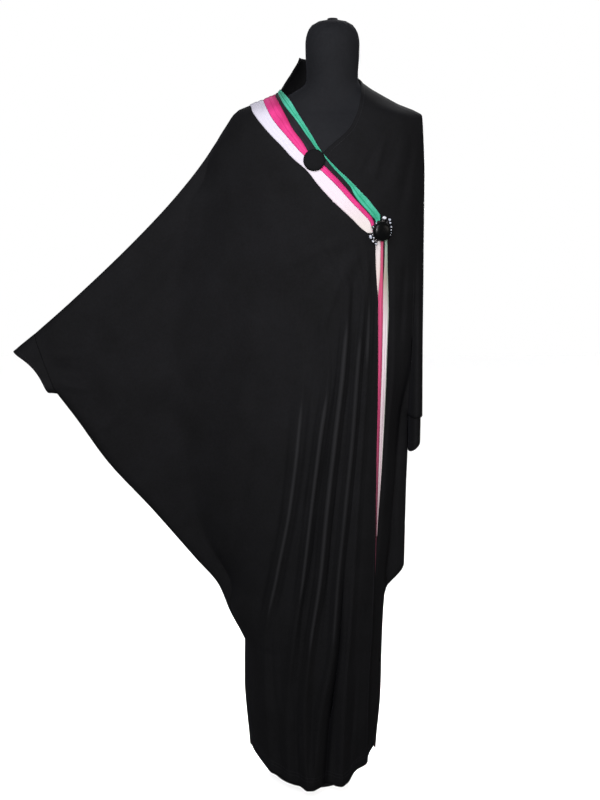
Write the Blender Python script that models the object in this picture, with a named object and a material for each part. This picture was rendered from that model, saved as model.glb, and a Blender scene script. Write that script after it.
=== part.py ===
# Batwing kaftan worn by a limbless dress form.
# Metres, +Z up. The form faces -Y, and the origin is on the floor under its pole.
# "Left" and "right" in the tables are as seen from the front: -X is the spread wing.

import math
from collections import namedtuple

import bmesh
import bpy
import numpy as np
from mathutils import Matrix, Vector

# Cloth, ribbon and the gap that touching pieces keep
CLOTH = 0.0020
RIBBON = 0.0012
GAP = 0.0003
SEAM_PLANE = GAP / 2

# How far the crossing fronts and the ribbons between them lie from the common surface
WRAP_LIFT = 0.0024
UNDER_LIFT = -0.0022
# How far beside an edge each lift comes in, over what run, and how it fades at the shoulder
WRAP_LIFT_BESIDE = 0.100
WRAP_LIFT_RUN = 0.080
UNDER_LIFT_BESIDE = 0.075
UNDER_LIFT_RUN = 0.045
UNDER_LIFT_CREASE_RUN = 0.030
LIFT_LEVEL = 1.260
LIFT_TOP = 1.470
LIFT_TOP_RUN = 0.070

# Stand
POLE_RADIUS = 0.0125
POLE_FOOT_RADIUS = 0.019
POLE_FOOT_HEIGHT = 0.006
POLE_SEGMENTS = 16
BASE_HALF_WIDTH = 0.095
BASE_HALF_DEPTH = 0.116
BASE_X = -0.035
BASE_Y = 0.062
BASE_THICKNESS = 0.009
BASE_BEVEL = 0.002
BASE_SEGMENTS = 40
FORM_BOTTOM = 0.860

# Cuffs
CUFF_SAG = 0.0120
CUFF_FLARE = 0.25
CUFF_STATIONS = (0.0, 0.33, 0.67, 1.0)
HANGING_CUFF_SEGMENTS = 12
HANGING_CUFF_X = 0.1794
# Rings of the hanging cuff from inside the sleeve down to its end
CuffRing = namedtuple("CuffRing", "z slant half_width half_depth")
HANGING_CUFF = [
    CuffRing(0.8580, 0.0000, 0.0118, 0.0470),
    CuffRing(0.8320, 0.0010, 0.0122, 0.0470),
    CuffRing(0.8000, 0.0045, 0.0124, 0.0460),
    CuffRing(0.7625, 0.0065, 0.0126, 0.0450),
]

Point = namedtuple("Point", "x z")

# Outline seen from the front. Neck, shoulder and over-arm fold of the spread wing
OVER_ARM = [
    Point(-0.0660, 1.5850),
    Point(-0.0675, 1.5800),
    Point(-0.0711, 1.5700),
    Point(-0.0790, 1.5574),
    Point(-0.0872, 1.5440),
    Point(-0.0975, 1.5290),
    Point(-0.1060, 1.5150),
    Point(-0.1130, 1.5070),
    Point(-0.1695, 1.4832),
    Point(-0.1989, 1.4702),
    Point(-0.2199, 1.4416),
    Point(-0.2657, 1.3717),
    Point(-0.3275, 1.2951),
    Point(-0.4197, 1.1989),
    Point(-0.5584, 1.0697),
    Point(-0.6323, 1.0057),
]
# Where the cuff is sewn to the spread wing, from the over-arm fold down
CUFF_SEAM = [Point(-0.6323, 1.0057), Point(-0.5880, 0.8770)]
# Ends of the cuff's open edge, above and below
CUFF_EDGE = [Point(-0.6790, 0.9680), Point(-0.6070, 0.8790)]
# Under-arm seam of the spread wing, and the side seam of the skirt below it
UNDER_ARM = [
    Point(-0.5880, 0.8770),
    Point(-0.5500, 0.8254),
    Point(-0.4823, 0.7274),
    Point(-0.3896, 0.6238),
    Point(-0.2929, 0.5089),
    Point(-0.2452, 0.4520),
    Point(-0.2215, 0.3925),
    Point(-0.1892, 0.3294),
]
SKIRT_LEFT = [
    Point(-0.1892, 0.3294),
    Point(-0.1904, 0.2280),
    Point(-0.1865, 0.1500),
    Point(-0.1790, 0.0450),
]
# Neck and shoulder on the hanging side
SHOULDER_RIGHT = [
    Point(0.0565, 1.5560),
    Point(0.0594, 1.5332),
    Point(0.0761, 1.5190),
    Point(0.1116, 1.4987),
    Point(0.1388, 1.4844),
    Point(0.1841, 1.4653),
    Point(0.1875, 1.4600),
]
# Outer fold of the hanging sleeve, down to its open end
SLEEVE_RIGHT = [
    Point(0.1875, 1.4600),
    Point(0.1929, 1.3366),
    Point(0.1935, 1.0312),
    Point(0.1953, 0.8320),
]
# Side seam below the sleeve: the hanging wing's corner, then the skirt
SIDE_RIGHT = [
    Point(0.1635, 0.8320),
    Point(0.1648, 0.8150),
    Point(0.1652, 0.7900),
    Point(0.1650, 0.7500),
    Point(0.1630, 0.6800),
    Point(0.1618, 0.5969),
    Point(0.1606, 0.4975),
    Point(0.1190, 0.4370),
    Point(0.1141, 0.3349),
    Point(0.1118, 0.2011),
    Point(0.1014, 0.0450),
]
# Line along which the hanging sleeve folds away from the body
SLEEVE_CREASE = [
    Point(0.1540, 1.4600),
    Point(0.1650, 1.2500),
    Point(0.1690, 1.1000),
    Point(0.1635, 0.8320),
]
SLEEVE_HALF_DEPTH = 0.0500
LEAST_HALF_SLEEVE = 0.001

# Free edges of the fronts and of the back
WRAP_EDGE = [
    Point(-0.1060, 1.5150),
    Point(-0.0867, 1.4903),
    Point(-0.0725, 1.4674),
    Point(-0.0583, 1.4449),
    Point(-0.0443, 1.4226),
    Point(-0.0245, 1.3891),
    Point(-0.0133, 1.3752),
    Point(0.0063, 1.3531),
    Point(0.0231, 1.3365),
    Point(0.0400, 1.3199),
    Point(0.0598, 1.3032),
    Point(0.0771, 1.2890),
    Point(0.0902, 1.2723),
    Point(0.0947, 1.2600),
    Point(0.0848, 1.2100),
    Point(0.0858, 1.1640),
    Point(0.0885, 1.1250),
    Point(0.0918, 1.0837),
    Point(0.0925, 0.9588),
    Point(0.0930, 0.8770),
    Point(0.0922, 0.8018),
    Point(0.0915, 0.7400),
    Point(0.0915, 0.4900),
    Point(0.0890, 0.4000),
    Point(0.0820, 0.2600),
    Point(0.0780, 0.0450),
]
NECK_EDGE = [
    Point(0.0594, 1.5332),
    Point(0.0560, 1.5000),
    Point(0.0504, 1.4732),
    Point(0.0341, 1.4374),
    Point(-0.0179, 1.3895),
    Point(-0.0380, 1.3600),
    Point(-0.0250, 1.3100),
    Point(0.0250, 1.2600),
]
NAPE_EDGE = [
    Point(-0.0675, 1.5800),
    Point(-0.0500, 1.5800),
    Point(-0.0100, 1.5740),
    Point(0.0250, 1.5620),
    Point(0.0480, 1.5460),
    Point(0.0594, 1.5332),
]

# Edges between the four ribbons, from the outer (white) edge to the wrap's own edge
RIBBON_LINES = {
    "white_outer": [
        Point(-0.1714, 1.4826),
        Point(-0.1522, 1.4512),
        Point(-0.1234, 1.4187),
        Point(-0.0950, 1.3891),
        Point(-0.0724, 1.3669),
        Point(-0.0542, 1.3503),
        Point(-0.0329, 1.3254),
        Point(-0.0105, 1.2992),
        Point(0.0119, 1.2782),
        Point(0.0346, 1.2559),
        Point(0.0517, 1.2390),
        Point(0.0675, 1.2265),
    ],
    "white_pink": [
        Point(-0.1420, 1.4900),
        Point(-0.1264, 1.4594),
        Point(-0.1121, 1.4396),
        Point(-0.0950, 1.4200),
        Point(-0.0781, 1.4002),
        Point(-0.0598, 1.3808),
        Point(-0.0245, 1.3503),
        Point(0.0063, 1.3199),
        Point(0.0372, 1.2867),
        Point(0.0571, 1.2669),
        Point(0.0740, 1.2471),
        Point(0.0790, 1.2265),
    ],
    "pink_charcoal": [
        Point(-0.1170, 1.5000),
        Point(-0.1008, 1.4704),
        Point(-0.0866, 1.4451),
        Point(-0.0724, 1.4199),
        Point(-0.0612, 1.4032),
        Point(-0.0528, 1.3877),
        Point(-0.0189, 1.3586),
        Point(0.0063, 1.3338),
        Point(0.0343, 1.3061),
        Point(0.0599, 1.2752),
        Point(0.0785, 1.2485),
        Point(0.0825, 1.2265),
    ],
    "charcoal_green": [
        Point(-0.1116, 1.5040),
        Point(-0.0952, 1.4789),
        Point(-0.0809, 1.4534),
        Point(-0.0668, 1.4310),
        Point(-0.0499, 1.4059),
        Point(-0.0371, 1.3904),
        Point(-0.0161, 1.3752),
        Point(0.0049, 1.3503),
        Point(0.0259, 1.3282),
        Point(0.0386, 1.3102),
        Point(0.0556, 1.2850),
        Point(0.0735, 1.2653),
        Point(0.0838, 1.2520),
        Point(0.0858, 1.2265),
    ],
}
RIBBON_END = 1.2265
RIBBON_BLEND = 0.06

# How far above the ribbons' ends the neck's edge gives way to fold E
NECK_EDGE_END = 0.020

# Below the ribbons, the line that the white one's outer edge runs on in, down to the hem
WRAP_INNER_LINE = [
    Point(0.0670, 1.2265),
    Point(0.0755, 1.1000),
    Point(0.0745, 0.9500),
    Point(0.0670, 0.8000),
    Point(0.0560, 0.5000),
    Point(0.0450, 0.2000),
    Point(0.0420, 0.0450),
]
# Where the wing gives way to the body, for the columns of the spread side
BODY_LEFT = [
    Point(-0.2000, 1.1100),
    Point(-0.2000, 0.6500),
    Point(-0.1900, 0.5000),
    Point(-0.1720, 0.4000),
    Point(-0.1620, 0.3294),
    Point(-0.1660, 0.2000),
    Point(-0.1580, 0.0450),
]

# Ends of the ribbons below the brooch, at each height
Tail = namedtuple("Tail", "z white_left white_pink pink_mint mint_right")
TAILS = [
    Tail(1.2265, 0.0780, 0.0960, 0.1025, 0.1100),
    Tail(1.1950, 0.0782, 0.0976, 0.1033, 0.1109),
    Tail(1.1550, 0.0785, 0.0984, 0.1034, 0.1112),
    Tail(1.1100, 0.0795, 0.0960, 0.1031, 0.1140),
    Tail(1.0600, 0.0805, 0.0925, 0.1042, 0.1160),
    Tail(0.9588, 0.0810, 0.0900, 0.1031, 0.1136),
    Tail(0.8770, 0.0815, 0.0895, 0.1015, 0.1126),
    Tail(0.7732, 0.0805, 0.0880, 0.1002, 0.1090),
    Tail(0.6500, 0.0800, 0.0870, 0.0985, 0.1032),
    Tail(0.5500, 0.0790, 0.0860, 0.0970, 0.1010),
    Tail(0.4650, 0.0770, 0.0845, 0.0940, 0.0985),
    Tail(0.0450, 0.0640, 0.0710, 0.0780, 0.0870),
]
WHITE_TAIL_END = 1.0600
PINK_TAIL_END = 0.4650
MINT_TAIL_END = 0.6000

# Depth of the garment front and back of the seam plane, and where its body tube ends.
# power 0.5 is an ellipse; a higher one runs out flat into the wing. wing and valley are the
# least depths of the spread side and of the dip between the body and the hanging sleeve
Section = namedtuple("Section", "z middle front back tube_left power_left tube_right wing valley")
SECTIONS = [
    Section(1.556, -0.010, 0.070, 0.078, -0.300, 0.50, 0.300, 0.000, 0.000),
    Section(1.500, 0.000, 0.080, 0.082, -0.300, 0.50, 0.300, 0.000, 0.000),
    Section(1.470, 0.000, 0.092, 0.090, -0.300, 0.50, 0.300, 0.000, 0.000),
    Section(1.420, 0.000, 0.110, 0.103, -0.300, 0.55, 0.300, 0.000, 0.000),
    Section(1.350, 0.000, 0.127, 0.114, -0.275, 0.80, 0.300, 0.005, 0.005),
    Section(1.280, 0.000, 0.138, 0.118, -0.320, 1.20, 0.300, 0.009, 0.020),
    Section(1.200, 0.000, 0.135, 0.114, -0.360, 1.50, 0.300, 0.012, 0.030),
    Section(1.100, 0.000, 0.127, 0.110, -0.390, 1.70, 0.193, 0.015, 0.034),
    Section(0.950, 0.000, 0.122, 0.117, -0.400, 1.70, 0.172, 0.018, 0.034),
    Section(0.832, -0.004, 0.121, 0.121, -0.385, 1.60, 0.148, 0.016, 0.016),
    Section(0.650, -0.010, 0.122, 0.122, -0.330, 1.30, 0.136, 0.013, 0.013),
    Section(0.550, -0.015, 0.124, 0.123, -0.280, 1.00, 0.129, 0.010, 0.010),
    Section(0.450, -0.022, 0.126, 0.124, -0.225, 0.70, 0.120, 0.006, 0.006),
    Section(0.330, -0.030, 0.129, 0.127, -0.300, 0.50, 0.300, 0.000, 0.000),
    Section(0.045, -0.038, 0.140, 0.137, -0.300, 0.50, 0.300, 0.000, 0.000),
]
WING_EDGE_ROUNDING = 0.022
SHOULDER_ROUNDING = 0.035
FOLD_END_RUN = 0.020
BLEND = 0.12

# Heights of the rows of every panel, at its outer edge. The rows follow the shoulders at the
# top and have levelled out at LEVEL_HEIGHT
ROWS = [
    1.4702, 1.4640, 1.4520, 1.4340, 1.4100, 1.3800, 1.3450, 1.3050, 1.2600, 1.2265, 1.1950,
    1.1550, 1.1100, 1.0600, 1.0057, 0.9750, 0.9460, 0.9166, 0.8770, 0.8320, 0.7900, 0.7450,
    0.7000, 0.6500, 0.6000, 0.5500, 0.4975, 0.4650, 0.4370, 0.4000, 0.3650, 0.3294, 0.2800,
    0.2300, 0.1800, 0.1300, 0.0850, 0.0450,
]
LEVEL_HEIGHT = 1.2600
FOLD_LAYOUT_HEIGHT = 1.1100
HEM_BLEND_TOP = 0.2500
SLEEVE_FULL_HEIGHT = 1.1000
SLEEVE_FADE_HEIGHT = 1.2800

# Height of the hem along x, for the front and the back
Hem = namedtuple("Hem", "x front back")
HEM = [
    Hem(-0.180, 0.080, 0.080),
    Hem(-0.150, 0.070, 0.060),
    Hem(-0.120, 0.058, 0.046),
    Hem(-0.085, 0.043, 0.040),
    Hem(-0.045, 0.030, 0.036),
    Hem(0.000, 0.036, 0.034),
    Hem(0.030, 0.035, 0.036),
    Hem(0.055, 0.052, 0.044),
    Hem(0.085, 0.064, 0.060),
    Hem(0.102, 0.072, 0.072),
]

# Folds: x and rise at each height of FOLD_HEIGHTS; face -1 is the front, +1 the back
FOLD_HEIGHTS = (1.235, 1.100, 0.950, 0.800, 0.650, 0.500, 0.350, 0.200, 0.045)
Fold = namedtuple("Fold", "name face half_width x rise")
FOLDS = [
    Fold("A", -1, 0.026, (-0.130, -0.085, -0.060, -0.071, -0.089, -0.117, -0.142, -0.140, -0.130),
         (0.000, 0.000, 0.003, 0.009, 0.012, 0.013, 0.010, 0.010, 0.013)),
    Fold("B", -1, 0.022, (-0.080, -0.030, -0.008, -0.026, -0.044, -0.061, -0.082, -0.094, -0.090),
         (0.000, 0.000, 0.004, 0.011, 0.013, 0.012, 0.009, 0.008, 0.010)),
    Fold("C", -1, 0.020, (-0.030, 0.030, 0.021, 0.005, -0.011, -0.025, -0.046, -0.058, -0.052),
         (0.000, 0.005, 0.011, 0.014, 0.014, 0.014, 0.013, 0.012, 0.016)),
    Fold("D", -1, 0.018, (0.030, 0.061, 0.051, 0.041, 0.027, 0.013, 0.003, -0.012, -0.018),
         (0.000, 0.005, 0.010, 0.012, 0.013, 0.013, 0.014, 0.013, 0.009)),
    Fold("E", -1, 0.018, (0.060, 0.073, 0.070, 0.062, 0.053, 0.045, 0.036, 0.030, 0.026),
         (0.000, 0.003, 0.004, 0.005, 0.006, 0.007, 0.012, 0.014, 0.015)),
    Fold("valley", -1, 0.015, (0.045, 0.050, 0.045, 0.035, 0.030, 0.024, 0.016, 0.006, -0.002),
         (0.000, 0.000, 0.000, 0.000, 0.000, -0.003, -0.010, -0.013, -0.012)),
    Fold("F", -1, 0.022, (0.125, 0.128, 0.130, 0.120, 0.112, 0.100, 0.082, 0.078, 0.074),
         (0.000, 0.002, 0.004, 0.006, 0.006, 0.005, 0.004, 0.006, 0.010)),
    Fold("G", 1, 0.030, (-0.150, -0.155, -0.160, -0.165, -0.165, -0.150, -0.150, -0.148, -0.145),
         (0.000, 0.004, 0.008, 0.012, 0.013, 0.010, 0.007, 0.009, 0.012)),
    Fold("H", 1, 0.026, (-0.080, -0.088, -0.095, -0.102, -0.106, -0.105, -0.106, -0.104, -0.100),
         (0.000, 0.005, 0.010, 0.014, 0.015, 0.015, 0.013, 0.013, 0.016)),
    Fold("I", 1, 0.022, (-0.030, -0.034, -0.038, -0.044, -0.050, -0.056, -0.060, -0.060, -0.056),
         (0.000, 0.003, 0.007, 0.010, 0.012, 0.013, 0.013, 0.014, 0.016)),
    Fold("J", 1, 0.024, (0.030, 0.028, 0.025, 0.018, 0.010, 0.000, -0.008, -0.010, -0.008),
         (0.000, 0.005, 0.010, 0.013, 0.015, 0.016, 0.015, 0.014, 0.016)),
    Fold("K", 1, 0.022, (0.085, 0.084, 0.082, 0.074, 0.064, 0.052, 0.042, 0.038, 0.036),
         (0.000, 0.006, 0.012, 0.015, 0.015, 0.014, 0.012, 0.012, 0.013)),
    Fold("L", 1, 0.022, (0.135, 0.134, 0.132, 0.124, 0.112, 0.096, 0.084, 0.080, 0.076),
         (0.000, 0.008, 0.012, 0.014, 0.012, 0.010, 0.008, 0.009, 0.012)),
]

# Dress form: half width and depth at each height
Ring = namedtuple("Ring", "z half_width front back")
FORM_RINGS = [
    Ring(1.6560, 0.0120, 0.0110, 0.0110),
    Ring(1.6530, 0.0280, 0.0260, 0.0260),
    Ring(1.6450, 0.0420, 0.0390, 0.0390),
    Ring(1.6300, 0.0520, 0.0490, 0.0490),
    Ring(1.6100, 0.0560, 0.0530, 0.0530),
    Ring(1.5800, 0.0555, 0.0520, 0.0530),
    Ring(1.5500, 0.0535, 0.0500, 0.0510),
    Ring(1.5340, 0.0535, 0.0490, 0.0480),
    Ring(1.5200, 0.0635, 0.0490, 0.0520),
    Ring(1.5070, 0.0850, 0.0510, 0.0570),
    Ring(1.4950, 0.1090, 0.0520, 0.0560),
    Ring(1.4828, 0.1350, 0.0540, 0.0555),
    Ring(1.4726, 0.1565, 0.0580, 0.0580),
    Ring(1.4637, 0.1730, 0.0640, 0.0620),
    Ring(1.4500, 0.1790, 0.0760, 0.0720),
    Ring(1.4200, 0.1790, 0.0940, 0.0880),
    Ring(1.3800, 0.1740, 0.1060, 0.0960),
    Ring(1.3300, 0.1650, 0.1180, 0.1020),
    Ring(1.2800, 0.1560, 0.1250, 0.1030),
    Ring(1.2200, 0.1430, 0.1170, 0.0980),
    Ring(1.1500, 0.1280, 0.1040, 0.0920),
    Ring(1.0900, 0.1210, 0.0970, 0.0890),
    Ring(1.0300, 0.1300, 0.1000, 0.0960),
    Ring(0.9600, 0.1430, 0.1040, 0.1040),
    Ring(0.9000, 0.1480, 0.1030, 0.1060),
    Ring(0.8600, 0.1440, 0.1000, 0.1030),
]
FORM_SEGMENTS = 32

# Button and brooch
BUTTON_RADIUS = 0.0222
BUTTON_HEIGHT = 0.0090
BUTTON_LIFT = 0.0052
BROOCH_DOME_RADIUS = 0.0195
BROOCH_DOME_HEIGHT = 0.0100
BROOCH_PLATE_THICKNESS = 0.0015
BROOCH_PLATE_SEGMENTS = 48
BROOCH_LIFT = 0.0051
# The plate: its share of the dome and of each stone, its arms' fullness and furthest reach
PLATE_SHARE = 0.95
ARM_SHARE = 0.40
ARM_FULLNESS = 0.90
PLATE_REACH = 0.0325
Place = namedtuple("Place", "x z")
BUTTON_PLACE = Place(-0.0377, 1.3697)
BROOCH_PLACE = Place(0.0954, 1.2294)
# Stones round the dome: distance and angle from its centre, length along the radius, width
Stone = namedtuple("Stone", "name distance angle length width")
STONES = [
    Stone("stone_upper_1", 0.0272, 75, 0.0085, 0.0120),
    Stone("stone_upper_2", 0.0290, 50, 0.0070, 0.0085),
    Stone("stone_upper_3", 0.0240, 40, 0.0055, 0.0060),
    Stone("stone_upper_4", 0.0225, 20, 0.0045, 0.0055),
    Stone("stone_lower_1", 0.0255, 205, 0.0080, 0.0130),
    Stone("stone_lower_2", 0.0255, 231, 0.0055, 0.0060),
    Stone("stone_lower_3", 0.0270, 250, 0.0045, 0.0050),
]
STONE_HEIGHT = 0.0040

# Colours (linear) and surface of each material
Finish = namedtuple("Finish", "colour roughness metallic")
FINISHES = {
    "black_jersey": Finish((0.010, 0.010, 0.011), 0.75, 0.0),
    "charcoal_jersey": Finish((0.022, 0.022, 0.025), 0.80, 0.0),
    "white_ribbon": Finish((0.850, 0.820, 0.880), 0.60, 0.0),
    "pink_ribbon": Finish((0.940, 0.060, 0.230), 0.55, 0.0),
    "charcoal_ribbon": Finish((0.030, 0.030, 0.034), 0.60, 0.0),
    "green_ribbon": Finish((0.090, 0.520, 0.360), 0.55, 0.0),
    "mint_ribbon": Finish((0.560, 0.560, 0.520), 0.60, 0.0),
    "black_glass": Finish((0.008, 0.008, 0.008), 0.15, 0.0),
    "clear_stone": Finish((0.800, 0.820, 0.850), 0.08, 0.0),
    "black_steel": Finish((0.015, 0.015, 0.015), 0.40, 1.0),
}


# Curves through tables

def columns(table, *names):
    """The named columns of a table as arrays, in rising order of the first."""
    found = [np.array([getattr(row, name) for row in table]) for name in names]
    order = np.argsort(found[0])
    return [column[order] for column in found]


def smooth(at, known, values):
    """Monotone cubic through (known, values), level outside them."""
    at = np.clip(at, known[0], known[-1])
    step = np.diff(known)
    slope = np.diff(values) / step
    tangent = np.zeros(len(known))
    tangent[0], tangent[-1] = slope[0], slope[-1]
    left, right = slope[:-1], slope[1:]
    same = left * right > 0
    tangent[1:-1][same] = 2 * left[same] * right[same] / (left[same] + right[same])
    index = np.clip(np.searchsorted(known, at) - 1, 0, len(step) - 1)
    width = step[index]
    t = (at - known[index]) / width
    return (
        values[index] * (1 + 2 * t) * (1 - t) ** 2
        + values[index + 1] * t * t * (3 - 2 * t)
        + tangent[index] * width * t * (1 - t) ** 2
        - tangent[index + 1] * width * t * t * (1 - t)
    )


def x_on(points, z):
    """x of an edge at height z."""
    return smooth(z, *columns(points, "z", "x"))


def ease(value):
    """0 to 1 with level ends."""
    value = np.clip(value, 0.0, 1.0)
    return value * value * (3 - 2 * value)


def sampled(points, step=0.012):
    """A finely cut polyline along an edge."""
    heights = [point.z for point in points]
    z = np.linspace(max(heights), min(heights), max(2, int((max(heights) - min(heights)) / step)))
    z = np.unique(np.concatenate([z, heights]))[::-1]
    return np.column_stack([x_on(points, z), z])


OUTLINE_LEFT = np.concatenate(
    [sampled(OVER_ARM), sampled(CUFF_SEAM)[1:], sampled(UNDER_ARM)[1:], sampled(SKIRT_LEFT)[1:]]
)
OUTLINE_SHOULDER = sampled(SHOULDER_RIGHT)
OUTLINE_SLEEVE = sampled(SLEEVE_RIGHT)
OUTLINE_SIDE = sampled(SIDE_RIGHT)


def on_outline(outline, z):
    """x of a sampled edge, exactly on its straight pieces."""
    return np.interp(z, outline[::-1, 1], outline[::-1, 0])


def left_x(z):
    return on_outline(OUTLINE_LEFT, z)


def right_x(z):
    """Outer edge of the hanging side: shoulder and sleeve, then the side seam."""
    top = on_outline(np.concatenate([OUTLINE_SHOULDER, OUTLINE_SLEEVE[1:]]), z)
    return np.where(z >= SLEEVE_RIGHT[-1].z, top, on_outline(OUTLINE_SIDE, z))


def crease_x(z):
    """Line between the body and the hanging sleeve, and the side seam below it."""
    return np.where(z >= SLEEVE_RIGHT[-1].z, x_on(SLEEVE_CREASE, z), on_outline(OUTLINE_SIDE, z))


def ridge_z(x):
    """Height of the shoulder line at x, on both sides of the neck."""
    line = np.concatenate([OUTLINE_LEFT[OUTLINE_LEFT[:, 1] > 1.2], OUTLINE_SHOULDER])
    line = line[np.argsort(line[:, 0])]
    return np.interp(x, line[:, 0], line[:, 1])


SEWN_LINES = [
    sampled(OVER_ARM),
    sampled(UNDER_ARM),
    OUTLINE_SLEEVE,
    OUTLINE_SIDE,
]


SHOULDER_LINES = [
    OUTLINE_LEFT[(OUTLINE_LEFT[:, 1] <= WRAP_EDGE[0].z) & (OUTLINE_LEFT[:, 1] >= ROWS[0])],
    OUTLINE_SHOULDER[OUTLINE_SHOULDER[:, 1] <= NECK_EDGE[0].z],
]


def distance_to(lines, x, z):
    """Distance in the seam plane from each point to the nearest of some edges."""
    points = np.stack([x, z], axis=-1)[..., None, :]
    best = np.full(x.shape, np.inf)
    for line in lines:
        start, way = line[:-1], np.diff(line, axis=0)
        along = ((points - start) * way).sum(-1) / (way * way).sum(-1)
        nearest = start + np.clip(along, 0, 1)[..., None] * way
        best = np.minimum(best, np.linalg.norm(points - nearest, axis=-1).min(-1))
    return best


# Depth of the garment

def rounding(distance, reach):
    """Quarter circle from 0 on an edge to 1 at some distance from it."""
    return np.sqrt(1 - (1 - np.clip(distance / reach, 0, 1)) ** 2)


def blended(a, b):
    """The larger of two depths, with a soft change from one to the other."""
    return 0.5 * (a + b + np.sqrt((a - b) ** 2 + BLEND * a * b))


def section(z, name):
    return smooth(z, *columns(SECTIONS, "z", name))


def fold_rise(x, z, face):
    """How far the folds of a face stand out from its plain surface."""
    heights = np.array(FOLD_HEIGHTS)[::-1]
    total = np.zeros(x.shape)
    for fold in FOLDS:
        if fold.face != face:
            continue
        centre = smooth(z, heights, np.array(fold.x)[::-1])
        rise = smooth(z, heights, np.array(fold.rise)[::-1])
        reach = np.clip(np.abs(x - centre) / fold.half_width, 0, 1)
        total += rise * np.cos(reach * math.pi / 2) ** 2
    return total


def depth(x, z, face):
    """Distance of the cloth from the seam plane; 0 on the outline."""
    middle = section(z, "middle")
    full = section(z, "front" if face < 0 else "back")
    tube_left = np.maximum(section(z, "tube_left"), left_x(z))
    tube_right = np.minimum(section(z, "tube_right"), right_x(z))
    end = np.where(x < middle, tube_left, tube_right)
    power = np.where(x < middle, section(z, "power_left"), 0.5)
    reach = np.clip((x - middle) / (end - middle), 0, 1)
    tube = full * (1 - reach ** 2) ** power
    tube *= rounding(distance_to(SHOULDER_LINES, x, z), SHOULDER_ROUNDING)
    near = distance_to(SEWN_LINES, x, z)
    flat = np.where(x < middle, section(z, "wing"), section(z, "valley"))
    wing = flat * rounding(near, WING_EDGE_ROUNDING)
    crease, outer = crease_x(z), right_x(z)
    half = np.maximum((outer - crease) / 2, LEAST_HALF_SLEEVE)
    across = np.clip(np.abs(x - (outer + crease) / 2) / half, 0, 1)
    fade = ease((SLEEVE_FADE_HEIGHT - z) / (SLEEVE_FADE_HEIGHT - SLEEVE_FULL_HEIGHT))
    has_sleeve = (z >= SLEEVE_RIGHT[-1].z) & (x > crease)
    sleeve = np.where(has_sleeve, SLEEVE_HALF_DEPTH * fade * np.sqrt(1 - across ** 2), 0.0)
    body = blended(tube, blended(wing, sleeve))
    return body + fold_rise(x, z, face) * ease(near / FOLD_END_RUN)


# Panels as grids of points

def row_fade(row):
    """1 on the shoulder row, 0 where the rows have levelled out."""
    return max(0.0, (ROWS[row] - LEVEL_HEIGHT) / (ROWS[0] - LEVEL_HEIGHT))


class Rows:
    """Heights of a panel's rows between its left and right edges."""

    def __init__(self, left_edge, right_edge, left_top, right_top, top_line):
        self.left_edge, self.right_edge = left_edge, right_edge
        self.left_top, self.right_top, self.top_line = left_top, right_top, top_line

    def ends(self, row):
        z_left = ROWS[row] + (self.left_top - ROWS[0]) * row_fade(row)
        z_right = ROWS[row] + (self.right_top - ROWS[0]) * row_fade(row)
        return float(self.left_edge(z_left)), z_left, float(self.right_edge(z_right)), z_right

    def chord(self, row, x):
        x_left, z_left, x_right, z_right = self.ends(row)
        return z_left + (z_right - z_left) * (x - x_left) / (x_right - x_left)

    def height(self, row, x):
        x_left, _, x_right, _ = self.ends(0)
        inside = (x >= x_left) & (x <= x_right)
        arch = np.where(inside, self.top_line(x) - self.chord(0, x), 0.0)
        return self.chord(row, x) + arch * row_fade(row)

    def crossing(self, row, line):
        """x where a line x(z) crosses a row."""
        x_left, _, x_right, _ = self.ends(row)
        low, high = x_left, x_right
        for _ in range(40):
            x = (low + high) / 2
            if line(float(self.height(row, np.array(x)))) > x:
                low = x
            else:
                high = x
        return x


def even(start, end, count):
    """The points of a stretch after its first one."""
    return list(np.linspace(start, end, count + 1)[1:])


def toward_edge(edge, inner, count):
    """Points from an outer edge to an inner line, closer together near the edge."""
    u = np.arange(count + 1) / count
    return list(edge + (inner - edge) * (1 - np.cos(u * math.pi / 2)))


def sleeve_lines(crease, outer, share):
    """Points round the front or back of the hanging sleeve, after the crease."""
    turn = np.arange(1, SLEEVE_COLUMNS + 1) * math.pi / SLEEVE_COLUMNS
    round_line = crease + (outer - crease) * (1 - np.cos(turn)) / 2
    return mix(even(crease, outer, SLEEVE_COLUMNS), round_line, share)


def fold_x(name, z):
    fold = next(fold for fold in FOLDS if fold.name == name)
    return float(smooth(z, np.array(FOLD_HEIGHTS)[::-1], np.array(fold.x)[::-1]))


def through(start, marks, end):
    """Column lines at the marks and halfway between them, after the start."""
    line = []
    for mark in [*marks, end]:
        line += [(start + mark) / 2, mark]
        start = mark
    return line


def layout_share(z):
    """0 where the columns spread evenly, 1 where they follow the folds."""
    return float(ease((LEVEL_HEIGHT - z) / (LEVEL_HEIGHT - FOLD_LAYOUT_HEIGHT)))


def mix(even_line, fold_line, share):
    return list((1 - share) * np.array(even_line) + share * np.array(fold_line))


def ribbon_line(name, z):
    """x of an edge between ribbons, run on evenly below the ribbons' ends."""
    table = RIBBON_LINES[name]
    inner, outer = float(x_on(WRAP_INNER_LINE, z)), float(x_on(WRAP_EDGE, z))
    below = inner + (outer - inner) * list(RIBBON_LINES).index(name) / len(RIBBON_LINES)
    share = float(ease((RIBBON_END - z) / RIBBON_BLEND))
    return (1 - share) * float(x_on(table, max(z, table[-1].z))) + share * below


WING_COLUMNS = 6
WING_SHARE = 0.35
BODY_COLUMNS = 12
UNDER_COLUMNS = 8
BESIDE_TAIL_COLUMNS = 3
NAPE_COLUMNS = (7, 7, 6)
SLEEVE_COLUMNS = 6
# Width that the sleeve's columns keep below its mouth, where their quads are left out
LEFT_OUT = 0.01


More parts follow.
